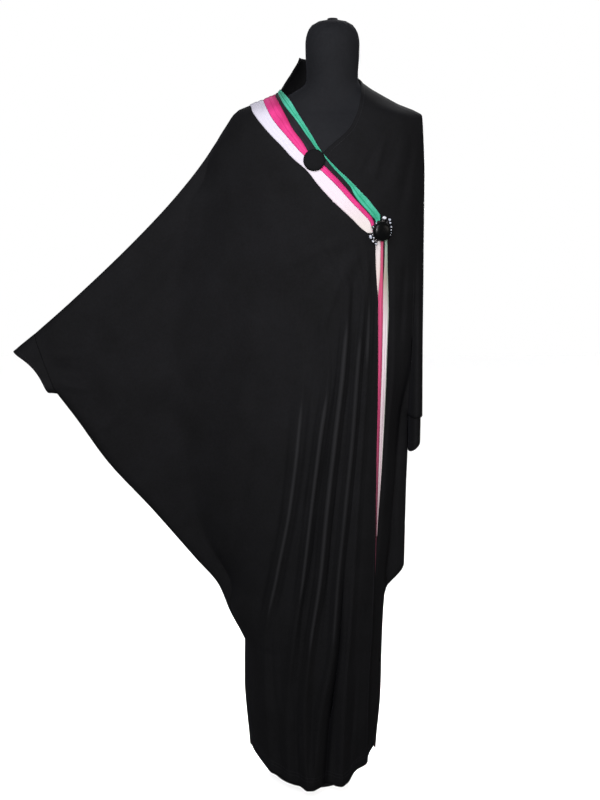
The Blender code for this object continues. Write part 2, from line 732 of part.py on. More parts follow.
def wrap_columns(rows, row):
    x_left, z_left, x_right, _ = rows.ends(row)
    lines = [
        rows.crossing(row, lambda z, name=name: ribbon_line(name, z)) for name in RIBBON_LINES
    ]
    inner = x_left + (lines[0] - x_left) * WING_SHARE
    spread = toward_edge(x_left, inner, WING_COLUMNS) + even(inner, lines[0], BODY_COLUMNS)
    folded = toward_edge(x_left, float(x_on(BODY_LEFT, z_left)), WING_COLUMNS)
    marks = [fold_x(name, z_left) for name in "ABCDE"]
    folded += through(folded[-1], marks, lines[0])
    return np.array(mix(spread, folded, layout_share(z_left)) + lines[1:] + [x_right])


def under_columns(rows, row):
    x_left, z_left, x_right, z_right = rows.ends(row)
    crease = rows.crossing(row, lambda z: float(crease_x(z)))
    if z_right < SLEEVE_RIGHT[-1].z:
        crease = x_right
    if z_left > RIBBON_END:
        body = [x_left] + even(x_left, crease, UNDER_COLUMNS)
    else:
        tail = [float(smooth(z_left, *columns(TAILS, "z", name))) for name in Tail._fields[1:]]
        body = [x_left, float(x_on(WRAP_INNER_LINE, z_left)), *tail]
        body += even(tail[-1], crease, BESIDE_TAIL_COLUMNS)
    outer = x_right if crease < x_right else crease + LEFT_OUT
    return np.array(body + sleeve_lines(crease, outer, layout_share(z_left)))


def back_columns(rows, row):
    x_left, z_left, x_right, z_right = rows.ends(row)
    crease = rows.crossing(row, lambda z: float(crease_x(z)))
    if z_right < SLEEVE_RIGHT[-1].z:
        crease = x_right
    span = crease - x_left
    top_left = rows.ends(0)[0]
    top_span = float(crease_x(z_right)) - top_left
    nape_left = x_left + span * (NAPE_EDGE[0].x - top_left) / top_span
    nape_right = x_left + span * (NAPE_EDGE[-1].x - top_left) / top_span
    outward, across, inward = NAPE_COLUMNS
    spread = [x_left, *even(x_left, nape_left, outward), *even(nape_left, nape_right, across)]
    spread += even(nape_right, crease, inward)
    folded = toward_edge(x_left, float(x_on(BODY_LEFT, z_left)), WING_COLUMNS)
    marks = [fold_x(name, z_left) for name in "GHIJKL"]
    folded += through(folded[-1], marks, crease)
    outer = x_right if crease < x_right else crease + LEFT_OUT
    line = mix(spread, folded, layout_share(z_left))
    return np.array(line + sleeve_lines(crease, outer, layout_share(z_left)))


def hem_height(x, face):
    return smooth(x, *columns(HEM, "x", "front" if face < 0 else "back"))


def panel_points(rows, layout, face):
    """Points of a panel's surface, one line for each of ROWS."""
    grid = []
    for row in range(len(ROWS)):
        x = layout(rows, row)
        z = rows.height(row, x)
        y = face * depth(x, z, face)
        drop = float(ease((HEM_BLEND_TOP - ROWS[row]) / (HEM_BLEND_TOP - ROWS[-1])))
        z = z + (hem_height(x, face) - ROWS[-1]) * drop
        grid.append(np.column_stack([x, y, z]))
    return np.array(grid)


def vertex_normals(points, kept, face):
    """Unit normals of a grid, pointing away from the form."""
    normals = np.zeros(points.shape)
    down, across = np.diff(points, axis=0), np.diff(points, axis=1)
    for i, j in np.argwhere(kept):
        for di, dj in ((0, 0), (0, 1), (1, 0), (1, 1)):
            one = np.cross(down[i, j + dj], across[i + di, j])
            normals[i + di, j + dj] += one / max(np.linalg.norm(one), 1e-12)
    normals[0, 0] = normals[0, 1] + normals[1, 0]
    normals[0, -1] = normals[0, -2] + normals[1, -1]
    length = np.linalg.norm(normals, axis=-1, keepdims=True)
    return -face * normals / np.maximum(length, 1e-12)


def brought_to_seam(points, normals, lift, sewn, face):
    """The grid with its sewn points moved so that their wall stops short of the seam plane."""
    nearest = face * (points + normals * lift[..., None])[..., 1]
    nearest -= np.abs(normals[..., 1]) * CLOTH / 2
    moved = points.copy()
    moved[..., 1] += np.where(sewn, face * (SEAM_PLANE - nearest), 0.0)
    return moved


def wall(name, points, normals, low, high, kept, finish):
    """A closed wall between two liftings of a grid, over its kept quads."""
    layers = np.array([points + normals * low[..., None], points + normals * high[..., None]])
    rows, cols = points.shape[:2]
    inner, outer = np.arange(rows * cols).reshape(rows, cols), rows * cols
    faces, edges = [], {}
    for i, j in np.argwhere(kept):
        a, b, c, d = inner[i, j], inner[i, j + 1], inner[i + 1, j + 1], inner[i + 1, j]
        for triangle in ((a, b, c), (a, c, d)):
            faces += [triangle, tuple(v + outer for v in triangle[::-1])]
        for start, end in ((a, b), (b, c), (c, d), (d, a)):
            if edges.pop((end, start), None) is None:
                edges[(start, end)] = True
    for start, end in edges:
        faces += [(end, start, start + outer), (end, start + outer, end + outer)]
    return solid(name, layers.reshape(-1, 3), faces, finish)


# Objects

def material(name):
    made = bpy.data.materials.get(name)
    if made is None:
        made = bpy.data.materials.new(name)
        made.use_nodes = True
        shader = made.node_tree.nodes["Principled BSDF"]
        finish = FINISHES[name]
        shader.inputs["Base Color"].default_value = (*finish.colour, 1.0)
        shader.inputs["Roughness"].default_value = finish.roughness
        shader.inputs["Metallic"].default_value = finish.metallic
        made.diffuse_color = (*finish.colour, 1.0)
    return made


def solid(name, vertices, faces, finish, place=None):
    """An object from points and faces, with stray points dropped and its faces turned out."""
    mesh = bpy.data.meshes.new(name)
    work = bmesh.new()
    made = [work.verts.new(tuple(map(float, vertex))) for vertex in vertices]
    for face in faces:
        work.faces.new([made[index] for index in face])
    bmesh.ops.delete(work, geom=[v for v in work.verts if not v.link_faces], context="VERTS")
    bmesh.ops.recalc_face_normals(work, faces=work.faces)
    work.to_mesh(mesh)
    work.free()
    mesh.materials.append(material(finish))
    mesh.shade_smooth()
    thing = bpy.data.objects.new(name, mesh)
    if place is not None:
        thing.matrix_world = place
    bpy.context.scene.collection.objects.link(thing)
    return thing


def rings_solid(name, rings, finish, place=None, hollow=False):
    """A closed body over rings of equal length; a hollow one joins its last ring to its first."""
    count = len(rings[0])
    vertices = [point for ring in rings for point in ring]
    faces = []
    last = len(rings) if hollow else len(rings) - 1
    for i in range(last):
        below, above = i * count, (i + 1) % len(rings) * count
        for j in range(count):
            k = (j + 1) % count
            faces += [(below + j, below + k, above + k), (below + j, above + k, above + j)]
    if not hollow:
        faces.append(tuple(range(count))[::-1])
        faces.append(tuple(range((len(rings) - 1) * count, len(rings) * count)))
    return solid(name, vertices, faces, finish, place)


def turned(name, profile, segments, finish, place=None):
    """A body turned about its own Z from (radius, height) pairs."""
    rings = [
        [
            (radius * math.cos(turn), radius * math.sin(turn), height)
            for turn in (2 * math.pi * i / segments for i in range(segments))
        ]
        for radius, height in profile
    ]
    return rings_solid(name, rings, finish, place)


def facing(x, z, lift, face=-1):
    """A frame on the garment at (x, z), its Z pointing out of the cloth."""
    step = 0.008
    near = np.array([[x, z], [x + step, z], [x - step, z], [x, z + step], [x, z - step]])
    y = face * depth(near[:, 0], near[:, 1], face)
    right = Vector((2 * step, y[1] - y[2], 0.0))
    up = Vector((0.0, y[3] - y[4], 2 * step))
    out = right.cross(up).normalized()
    up = (up - out * up.dot(out)).normalized()
    right = up.cross(out)
    turn = Matrix((right, up, out)).transposed().to_4x4()
    return Matrix.Translation(Vector((x, y[0], z)) + out * lift) @ turn


def front_lifts(x, z):
    """Lift of the upper front, where it lies over the other one."""
    edge = x_on(NECK_EDGE, np.maximum(z, LIFT_LEVEL))
    over = ease((x - edge + WRAP_LIFT_BESIDE) / WRAP_LIFT_RUN)
    return WRAP_LIFT * over * ease((LIFT_TOP - z) / LIFT_TOP_RUN)


def under_lifts(x, z):
    """Lift of the lower front: inward below the wrap and the ribbons, none at the seams."""
    from_crease = ease((crease_x(z) - x) / UNDER_LIFT_CREASE_RUN)
    beside = ease((x_on(WRAP_EDGE, z) + UNDER_LIFT_BESIDE - x) / UNDER_LIFT_RUN)
    low = np.where(z > LIFT_LEVEL, 1.0, beside)
    return UNDER_LIFT * from_crease * low * ease((LIFT_TOP - z) / LIFT_TOP_RUN)


def whole(points):
    return np.ones((points.shape[0] - 1, points.shape[1] - 1), bool)


def side_seams(points, mouth):
    """Sewn points of a panel with the hanging sleeve: shoulder, sleeve fold and side seam."""
    sewn = np.zeros(points.shape[:2], bool)
    sewn[0, :] = True
    sewn[: mouth + 1, -1] = True
    sewn[mouth:, -1 - SLEEVE_COLUMNS] = True
    return sewn


def spread_seams(rows):
    """Sewn rows of the spread side: all but the cuff's."""
    top, low = ROWS.index(CUFF_SEAM[0].z), ROWS.index(CUFF_SEAM[1].z)
    return [row for row in range(rows) if row <= top or row >= low]


def panel_wall(name, points, kept, sewn, lift, face):
    """A panel's wall; returns its grid and normals for what is laid on it."""
    normals = vertex_normals(points, kept, face)
    mouth = ROWS.index(SLEEVE_RIGHT[-1].z)
    if not kept[mouth, -1]:
        normals[mouth, -1 - SLEEVE_COLUMNS] = (0.0, face, 0.0)
    points = brought_to_seam(points, normals, lift, sewn, face)
    wall(name, points, normals, lift - CLOTH / 2, lift + CLOTH / 2, kept, "black_jersey")
    return points, normals


def ribbons(prefix, colours, first, ends, start, points, normals, lift):
    """Ribbons side by side on a panel, each between two of its column lines."""
    base = lift + CLOTH / 2 + GAP
    for index, (colour, end) in enumerate(zip(colours, ends)):
        part = (slice(start, ROWS.index(end) + 1), slice(first + index, first + index + 2))
        strip = points[part].copy()
        way = strip[:, 1] - strip[:, 0]
        gap = way / np.linalg.norm(way, axis=-1, keepdims=True) * GAP / 2
        strip[:, 0] += gap
        strip[:, 1] -= gap
        wall(prefix + colour, strip, normals[part], base[part], base[part] + RIBBON,
             whole(strip), colour + "_ribbon")


def build_fronts_and_back():
    """The three panels, with the ribbons and their tails made from the fronts' points."""
    mouth = ROWS.index(SLEEVE_RIGHT[-1].z)
    ribbon_row = ROWS.index(RIBBON_END)

    rows = Rows(left_x, lambda z: x_on(WRAP_EDGE, z), ROWS[0], WRAP_EDGE[0].z, ridge_z)
    points = panel_points(rows, wrap_columns, -1)
    sewn = np.zeros(points.shape[:2], bool)
    sewn[0, :] = True
    sewn[spread_seams(len(ROWS)), 0] = True
    lift = front_lifts(points[..., 0], points[..., 2])
    points, normals = panel_wall("front_wrap", points, whole(points), sewn, lift, -1)
    ribbons("band_", ("white", "pink", "charcoal", "green"), WING_COLUMNS + BODY_COLUMNS,
            [RIBBON_END] * 4, 0, points, normals, lift)

    rows = Rows(under_left_x, right_x, NECK_EDGE[0].z, SHOULDER_RIGHT[-1].z, ridge_z)
    points = panel_points(rows, under_columns, -1)
    kept = whole(points)
    kept[mouth:, -SLEEVE_COLUMNS:] = False
    lift = under_lifts(points[..., 0], points[..., 2])
    sewn = side_seams(points, mouth)
    points, normals = panel_wall("front_under", points, kept, sewn, lift, -1)
    ribbons("tail_", ("white", "pink", "mint"), 2, (WHITE_TAIL_END, PINK_TAIL_END, MINT_TAIL_END),
            ribbon_row, points, normals, lift)

    def top_line(x):
        nape = smooth(x, *columns(NAPE_EDGE, "x", "z"))
        inside = (x >= NAPE_EDGE[0].x) & (x <= NAPE_EDGE[-1].x)
        return np.where(inside, nape, ridge_z(x))

    rows = Rows(left_x, right_x, ROWS[0], SHOULDER_RIGHT[-1].z, top_line)
    points = panel_points(rows, back_columns, 1)
    kept = whole(points)
    kept[mouth:, -SLEEVE_COLUMNS:] = False
    sewn = side_seams(points, mouth)
    top = points[0, :, 0]
    sewn[0, (top > NAPE_EDGE[0].x + 0.001) & (top < NAPE_EDGE[-1].x - 0.001)] = False
    sewn[spread_seams(len(ROWS)), 0] = True
    panel_wall("back", points, kept, sewn, np.zeros(points.shape[:2]), 1)


def under_left_x(z):
    """Free edge of the lower front: the neck's edge, then hidden under the wrap."""
    return x_on(NECK_EDGE, z) if z > RIBBON_END + NECK_EDGE_END else fold_x("E", z)


def build_cuffs():
    """A narrow band on each sleeve end, open at both ends."""
    top, low = (np.array(point) for point in CUFF_SEAM)
    edge_top, edge_low = (np.array(point) for point in CUFF_EDGE)
    heights = np.array([z for z in ROWS if low[1] <= z <= top[1]])
    share = ((top[1] - heights) / (top[1] - low[1]))[:, None]
    seam = top + (low - top) * share
    edge = edge_top + (edge_low - edge_top) * share
    way = edge_low - edge_top
    edge += np.array([-way[1], way[0]]) / np.linalg.norm(way) * CUFF_SAG * np.sin(math.pi * share)
    out = edge - seam
    start = seam + out / np.linalg.norm(out, axis=1, keepdims=True) * 3 * GAP
    front, back = depth(seam[:, 0], seam[:, 1], -1), depth(seam[:, 0], seam[:, 1], 1)
    inner, outer = [], []
    for station in CUFF_STATIONS:
        flare = 1 + CUFF_FLARE * station
        spot = start + (edge - start) * station
        line = [(x, -y * flare, z) for (x, z), y in zip(spot, front)]
        line += [(x, y * flare, z) for (x, z), y in zip(spot[-2:0:-1], back[-2:0:-1])]
        ring = np.array(line)
        away = ring_normals(ring)
        outer.append(ring + away * CLOTH / 2)
        inner.append(ring - away * CLOTH / 2)
    rings_solid("cuff_right", outer + inner[::-1], "black_jersey", hollow=True)

    inner, outer = [], []
    for row in HANGING_CUFF:
        ring = []
        for i in range(HANGING_CUFF_SEGMENTS):
            turn = 2 * math.pi * i / HANGING_CUFF_SEGMENTS
            ring.append((HANGING_CUFF_X + row.half_width * math.cos(turn),
                         row.half_depth * math.sin(turn), row.z + row.slant * math.cos(turn)))
        ring = np.array(ring)
        away = ring_normals(ring)
        outer.append(ring + away * CLOTH / 2)
        inner.append(ring - away * CLOTH / 2)
    rings_solid("cuff_left", outer + inner[::-1], "black_jersey", hollow=True)


def ring_normals(ring):
    """Unit vectors out of a closed ring, in its own plane."""
    tangent = np.roll(ring, -1, axis=0) - np.roll(ring, 1, axis=0)
    axis = np.zeros(3)
    centre = ring.mean(0)
    for i in range(len(ring)):
        axis += np.cross(ring[i] - centre, ring[(i + 1) % len(ring)] - centre)
    normal = np.cross(tangent, axis)
    return normal / np.linalg.norm(normal, axis=-1, keepdims=True)


def build_fastenings():
    """The covered button and the brooch."""
    place = facing(BUTTON_PLACE.x, BUTTON_PLACE.z, BUTTON_LIFT)
    h, r = BUTTON_HEIGHT, BUTTON_RADIUS
    turned("button",
           [(r * 0.80, 0.0), (r * 0.97, h * 0.18), (r, h * 0.40), (r * 0.93, h * 0.68),
            (r * 0.72, h * 0.88), (r * 0.38, h * 0.98), (r * 0.08, h)], 24, "black_jersey", place)
    place = facing(BROOCH_PLACE.x, BROOCH_PLACE.z, BROOCH_LIFT)
    build_brooch_plate(place)
    h, r = BROOCH_DOME_HEIGHT, BROOCH_DOME_RADIUS
    base = BROOCH_PLATE_THICKNESS + GAP
    turned("brooch_dome",
           [(r * 0.98, base), (r, base + h * 0.15), (r * 0.94, base + h * 0.45),
            (r * 0.76, base + h * 0.75), (r * 0.42, base + h * 0.94), (r * 0.08, base + h)],
           24, "black_glass", place)
    for stone in STONES:
        angle = math.radians(stone.angle)
        spot = Matrix.Translation((stone.distance * math.cos(angle),
                                   stone.distance * math.sin(angle), base))
        turn = Matrix.Rotation(angle, 4, "Z")
        size = Matrix.Diagonal((stone.length / 2, stone.width / 2, STONE_HEIGHT, 1.0))
        shape = turned(stone.name, [(0.94, 0.0), (1.0, 0.35), (0.72, 0.80), (0.45, 1.0)], 10,
                       "clear_stone")
        shape.data.transform(place @ spot @ turn @ size)


def build_brooch_plate(place):
    """A thin plate under the dome, with an arm under each group of stones."""
    outline = []
    for i in range(BROOCH_PLATE_SEGMENTS):
        turn = 2 * math.pi * i / BROOCH_PLATE_SEGMENTS
        reach = BROOCH_DOME_RADIUS * PLATE_SHARE
        for stone in STONES:
            away = math.radians(stone.angle) - turn
            away = (away + math.pi) % (2 * math.pi) - math.pi
            spread = stone.width * ARM_SHARE / stone.distance
            arm = stone.distance + stone.length * ARM_SHARE - reach
            reach += max(0.0, arm) * math.exp(-((away / spread) ** 2)) * ARM_FULLNESS
        reach = min(reach, PLATE_REACH)
        outline.append((reach * math.cos(turn), reach * math.sin(turn)))
    rings = [[(x, y, height) for x, y in outline] for height in (0.0, BROOCH_PLATE_THICKNESS)]
    rings_solid("brooch_plate", rings, "black_steel", place)


def build_form_and_stand():
    """The torso with its neck, the pole and the oval base."""
    rings = []
    for row in FORM_RINGS:
        ring = []
        for i in range(FORM_SEGMENTS):
            turn = 2 * math.pi * i / FORM_SEGMENTS
            deep = row.front if math.sin(turn) < 0 else row.back
            ring.append((row.half_width * math.cos(turn), deep * math.sin(turn), row.z))
        rings.append(ring)
    rings_solid("form", rings, "charcoal_jersey")
    foot = BASE_THICKNESS + GAP
    turned("pole",
           [(POLE_FOOT_RADIUS, foot), (POLE_FOOT_RADIUS, foot + POLE_FOOT_HEIGHT * 0.7),
            (POLE_FOOT_RADIUS * 0.9, foot + POLE_FOOT_HEIGHT),
            (POLE_RADIUS, foot + POLE_FOOT_HEIGHT), (POLE_RADIUS, FORM_BOTTOM - GAP)],
           POLE_SEGMENTS, "black_steel")
    rings = []
    for inset, height in ((0.0, 0.0), (0.0, BASE_THICKNESS - BASE_BEVEL),
                          (BASE_BEVEL, BASE_THICKNESS)):
        turns = [2 * math.pi * i / BASE_SEGMENTS for i in range(BASE_SEGMENTS)]
        rings.append([(BASE_X + (BASE_HALF_WIDTH - inset) * math.cos(turn),
                       BASE_Y + (BASE_HALF_DEPTH - inset) * math.sin(turn), height)
                      for turn in turns])
    rings_solid("base", rings, "black_steel")


def main():
    for thing in list(bpy.data.objects):
        bpy.data.objects.remove(thing, do_unlink=True)
    build_form_and_stand()
    build_fronts_and_back()
    build_cuffs()
    build_fastenings()


main()
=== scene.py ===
# Batwing kaftan on a limbless dress form: the looks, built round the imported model.
# Metres, +Z up. The form faces -Y. Left and right are as seen from the front, so
# -X is the spread wing. Face -1 is the front of the garment, +1 the back.

import math
from functools import partial

import bpy
import numpy as np
from mathutils import Matrix, Vector


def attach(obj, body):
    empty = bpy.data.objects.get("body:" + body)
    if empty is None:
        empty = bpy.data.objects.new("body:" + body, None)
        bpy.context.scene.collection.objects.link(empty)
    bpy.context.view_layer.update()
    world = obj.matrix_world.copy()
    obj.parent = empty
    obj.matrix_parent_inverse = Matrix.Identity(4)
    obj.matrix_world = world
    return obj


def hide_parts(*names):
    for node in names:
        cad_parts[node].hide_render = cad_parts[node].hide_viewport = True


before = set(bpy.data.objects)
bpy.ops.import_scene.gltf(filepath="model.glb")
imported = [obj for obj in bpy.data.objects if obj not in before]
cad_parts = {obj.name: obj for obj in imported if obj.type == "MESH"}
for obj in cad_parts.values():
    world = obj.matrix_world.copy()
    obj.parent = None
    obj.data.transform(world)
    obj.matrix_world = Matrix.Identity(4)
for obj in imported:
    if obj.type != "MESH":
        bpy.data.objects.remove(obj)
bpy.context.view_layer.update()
print("frame loaded")


def addObject(name, data):
    made = bpy.data.objects.new(name, data)
    bpy.context.scene.collection.objects.link(made)
    return made


# Camera at the photo's angle: eye height, looking slightly down
cameraSizes = {"place": (-0.067, -3.0, 1.37), "tilt": 80.4, "lens": 63.63, "sensor": 36.0}
cameraData = bpy.data.cameras.new("camera")
cameraData.lens = cameraSizes["lens"]
cameraData.sensor_width = cameraSizes["sensor"]
camera = addObject("camera", cameraData)
camera.location = cameraSizes["place"]
camera.rotation_euler = (math.radians(cameraSizes["tilt"]), 0, 0)
bpy.context.scene.camera = camera


def metres(value):
    # The long tables are written in millimetres
    if isinstance(value, dict):
        return {name: metres(part) for name, part in value.items()}
    if isinstance(value, (list, tuple)):
        return [metres(part) for part in value]
    return round(value / 1000, 6)


# The garment's shape, the same tables as its solids are made from

# Edges seen from the front, (x, z) from the top down
edges = metres({
    "overArm": [
        (-66, 1585), (-67.5, 1580), (-71.1, 1570), (-79, 1557.4), (-87.2, 1544), (-97.5, 1529),
        (-106, 1515), (-113, 1507), (-169.5, 1483.2), (-198.9, 1470.2), (-219.9, 1441.6),
        (-265.7, 1371.7), (-327.5, 1295.1), (-419.7, 1198.9), (-558.4, 1069.7), (-632.3, 1005.7),
    ],
    "cuffSeam": [(-632.3, 1005.7), (-588, 877)],
    "cuffEdge": [(-679, 968), (-607, 879)],
    "underArm": [
        (-588, 877), (-550, 825.4), (-482.3, 727.4), (-389.6, 623.8), (-292.9, 508.9), (-245.2, 452),
        (-221.5, 392.5), (-189.2, 329.4),
    ],
    "skirtLeft": [(-189.2, 329.4), (-190.4, 228), (-186.5, 150), (-179, 45)],
    "shoulderRight": [
        (56.5, 1556), (59.4, 1533.2), (76.1, 1519), (111.6, 1498.7), (138.8, 1484.4), (184.1, 1465.3),
        (187.5, 1460),
    ],
    "sleeveRight": [(187.5, 1460), (192.9, 1336.6), (193.5, 1031.2), (195.3, 832)],
    "sideRight": [
        (165.8, 832), (165.8, 815), (165.6, 790), (165, 750), (163, 680), (161.8, 596.9), (160.6, 497.5),
        (119, 437), (114.1, 334.9), (111.8, 201.1), (101.4, 45),
    ],
    "sleeveCrease": [(154, 1460), (165, 1250), (169, 1100), (165.8, 832)],
    "wrapEdge": [
        (-106, 1515), (-86.7, 1490.3), (-72.5, 1467.4), (-58.3, 1444.9), (-44.3, 1422.6),
        (-24.5, 1389.1), (-13.3, 1376), (7.5, 1354.3), (24, 1339.1), (42, 1321.8), (59.7, 1303.2),
        (71.7, 1291), (80, 1280.4), (87.2, 1271.7), (93.5, 1261), (84.8, 1210), (85.8, 1164),
        (88.5, 1125), (91.8, 1083.7), (92.5, 958.8), (93, 877), (92.2, 801.8), (91.5, 740), (91.5, 490),
        (89, 400), (82, 260), (78, 45),
    ],
    "neckEdge": [
        (59.4, 1533.2), (56, 1500), (50.4, 1473.2), (34.1, 1437.4), (-17.9, 1389.5), (-38, 1360),
        (-25, 1310), (25, 1260),
    ],
    "napeEdge": [(-67.5, 1580), (-50, 1580), (-10, 1574), (25, 1562), (48, 1546), (59.4, 1533.2)],
    "wrapInner": [(67, 1226.5), (75.5, 1100), (74.5, 950), (67, 800), (56, 500), (45, 200), (42, 45)],
    "bodyLeft": [
        (-200, 1110), (-200, 650), (-190, 500), (-172, 400), (-162, 329.4), (-166, 200), (-158, 45),
    ],
})

# Edges between the four ribbons, from the white one's outer edge inwards
ribbonLines = metres({
    "whiteOuter": [
        (-171.4, 1482.6), (-152.2, 1451.2), (-123.4, 1418.7), (-95, 1389.1), (-72.4, 1366.9),
        (-54.2, 1350.3), (-32.9, 1325.4), (-10.5, 1299.2), (11.9, 1278.2), (34.6, 1255.9), (51.7, 1239),
        (67.5, 1226.5),
    ],
    "whitePink": [
        (-142, 1490), (-126.4, 1459.4), (-112.1, 1439.6), (-95, 1420), (-78.1, 1400.2), (-59.8, 1380.8),
        (-24.5, 1350.3), (6.3, 1319.9), (37.2, 1286.7), (57.1, 1266.9), (74, 1247.1), (79, 1226.5),
    ],
    "pinkCharcoal": [
        (-117, 1500), (-100.8, 1470.4), (-92.7, 1455.1), (-84.3, 1438.7), (-76.1, 1426.4),
        (-66.4, 1414.1), (-58.2, 1401.9), (-50, 1388.3), (-17.5, 1359.4), (1.3, 1340.6), (11.7, 1330.4),
        (33.8, 1305.1), (46.4, 1291), (67.6, 1268.6), (76.5, 1258.1), (80.5, 1248.5), (82.5, 1226.5),
    ],
    "charcoalGreen": [
        (-111.6, 1504), (-98.3, 1479.6), (-88.5, 1467.4), (-77.5, 1453.7), (-66.4, 1438.6),
        (-55.5, 1422.2), (-44.5, 1407.3), (-33.5, 1391), (-16.4, 1374.2), (-5.7, 1361), (4.7, 1349.1),
        (15.1, 1338.9), (25.6, 1327), (34.2, 1316.7), (40, 1304.7), (47.8, 1292.8), (57.7, 1280.8),
        (68, 1270.3), (76.6, 1259.9), (83.8, 1252), (85.8, 1226.5),
    ],
})

# Depth of the garment on both sides of the seam plane, one row a height
sectionNames = ("z", "middle", "front", "back", "tubeLeft", "powerLeft", "tubeRight", "wing", "valley")
sections = [
    (1.556, -0.01, 0.07, 0.078, -0.3, 0.5, 0.3, 0.0, 0.0),
    (1.5, 0.0, 0.08, 0.082, -0.3, 0.5, 0.3, 0.0, 0.0),
    (1.47, 0.0, 0.092, 0.09, -0.3, 0.5, 0.3, 0.0, 0.0),
    (1.42, 0.0, 0.11, 0.103, -0.3, 0.55, 0.3, 0.0, 0.0),
    (1.35, 0.0, 0.127, 0.114, -0.275, 0.8, 0.3, 0.005, 0.005),
    (1.28, 0.0, 0.138, 0.118, -0.32, 1.2, 0.3, 0.009, 0.02),
    (1.2, 0.0, 0.135, 0.114, -0.36, 1.5, 0.3, 0.012, 0.03),
    (1.1, 0.0, 0.127, 0.11, -0.39, 1.7, 0.193, 0.015, 0.034),
    (0.95, 0.0, 0.122, 0.117, -0.4, 1.7, 0.172, 0.018, 0.034),
    (0.832, -0.004, 0.121, 0.121, -0.385, 1.6, 0.148, 0.016, 0.016),
    (0.65, -0.01, 0.122, 0.122, -0.33, 1.3, 0.136, 0.013, 0.013),
    (0.55, -0.015, 0.124, 0.123, -0.28, 1.0, 0.129, 0.01, 0.01),
    (0.45, -0.022, 0.126, 0.124, -0.225, 0.7, 0.12, 0.006, 0.006),
    (0.33, -0.03, 0.129, 0.127, -0.3, 0.5, 0.3, 0.0, 0.0),
    (0.045, -0.038, 0.14, 0.137, -0.3, 0.5, 0.3, 0.0, 0.0),
]

garment = {
    "cloth": 0.0020,  # wall of the solids
    "shown": 0.0012,  # wall of the shown cloth, thinner than the solids'
    "gap": 0.0003,  # between sewn pieces
    "hemWall": 0.0024, "hemWidth": 0.022, "hemStep": 0.004,  # turned up, two layers
    "hemProud": 0.0003, "seamSpacing": 0.0068,  # stands out this far; between its two seams
    "wrapLift": 0.0024, "wrapStart": 0.100, "wrapFade": 0.080,  # lies over the other
    "underLift": -0.0022, "underFade": 0.030, "underStart": 0.075, "underBeside": 0.045,
    "liftTop": 1.470, "liftFade": 0.070,
    "sleeveHalfDepth": 0.0500, "sleeveFull": 1.1000, "sleeveFade": 1.2800, "thinnest": 0.001,
    "wingRounding": 0.022, "shoulderTurn": 0.030, "shoulderRounding": 0.035,
    "blend": 0.12,  # how softly the tube, the wing and the sleeve run together
    "foldEnd": 0.020, "creaseDepth": 0.012,  # folds end at the seams, creases in thin places
    "creaseStart": 0.32, "creaseEnd": 0.40,  # share of a crease over which it dies out
    "rowStep": 0.0068, "ribbonFade": 0.060, "underTuck": 0.040,
}

# Heights of the rows that the solids have; the shown panels have more between them
rowHeights = metres([
    1470.2, 1464, 1452, 1434, 1410, 1380, 1345, 1305, 1260, 1226.5, 1195, 1155, 1110, 1060, 1005.7, 975,
    946, 916.6, 877, 832, 790, 745, 700, 650, 600, 550, 497.5, 465, 437, 400, 365, 329.4, 280, 230, 180,
    130, 85, 45,
])
topHeight, hemBase = rowHeights[0], rowHeights[-1]
levelHeight = 1.2600
shoulderBottom = 1.2000
foldLayoutHeight = 1.1100
hemBlendTop = 0.2500
mouthHeight = 0.8320
ribbonEnd = 1.2265

# Height of the hem along x: front, back
hemTable = metres([
    (-180, 96, 80), (-150, 77, 60), (-124, 64, 48), (-100, 54, 42), (-73, 46, 38), (-39, 39, 36),
    (-20, 43, 35), (-2, 49, 34), (10, 44, 35), (34, 45, 37), (50, 64, 42), (78, 76, 56), (88, 90, 62),
    (102, 96, 72),
])

# Folds of the skirt, front and back: half width, then x and rise at each of these heights
foldHeights = (1.235, 1.100, 0.950, 0.800, 0.650, 0.500, 0.350, 0.200, 0.045)
folds = metres({
    -1: {
        "A": (26, (-130, -85, -60, -71, -89, -117, -142, -140, -130), (0, 0, 3, 9, 12, 13, 10, 10, 13)),
        "B": (22, (-80, -30, -8, -26, -44, -61, -82, -94, -90), (0, 0, 4, 11, 13, 12, 9, 8, 10)),
        "C": (20, (-30, 30, 21, 5, -11, -25, -46, -58, -52), (0, 5, 11, 14, 14, 14, 13, 12, 16)),
        "D": (18, (30, 61, 51, 41, 27, 13, 2, -24, -38), (0, 5, 10, 12, 13, 13, 14, 13, 9)),
        "E": (18, (60, 73, 70, 62, 53, 45, 36, 26, 22), (0, 3, 4, 5, 6, 7, 12, 14, 15)),
        "valley": (14, (45, 50, 45, 35, 30, 24, 16, -1, -14), (0, 0, 0, 0, 0, -3, -11, -15, -13)),
        "F": (22, (125, 128, 130, 120, 112, 100, 82, 78, 74), (0, 2, 4, 6, 6, 5, 4, 6, 10)),
    },
    1: {
        "G": (30, (-150, -155, -160, -165, -165, -150, -150, -148, -145), (0, 4, 8, 12, 13, 10, 7, 9, 12)),
        "H": (26, (-80, -88, -95, -102, -106, -105, -106, -104, -100), (0, 5, 10, 14, 15, 15, 13, 13, 16)),
        "I": (22, (-30, -34, -38, -44, -50, -56, -60, -60, -56), (0, 3, 7, 10, 12, 13, 13, 14, 16)),
        "J": (24, (30, 28, 25, 18, 10, 0, -8, -10, -8), (0, 5, 10, 13, 15, 16, 15, 14, 16)),
        "K": (22, (85, 84, 82, 74, 64, 52, 42, 38, 36), (0, 6, 12, 15, 15, 14, 12, 12, 13)),
        "L": (22, (135, 134, 132, 124, 112, 96, 84, 80, 76), (0, 8, 12, 14, 12, 10, 8, 9, 12)),
    },
})
everyFold = {**folds[-1], **folds[1]}
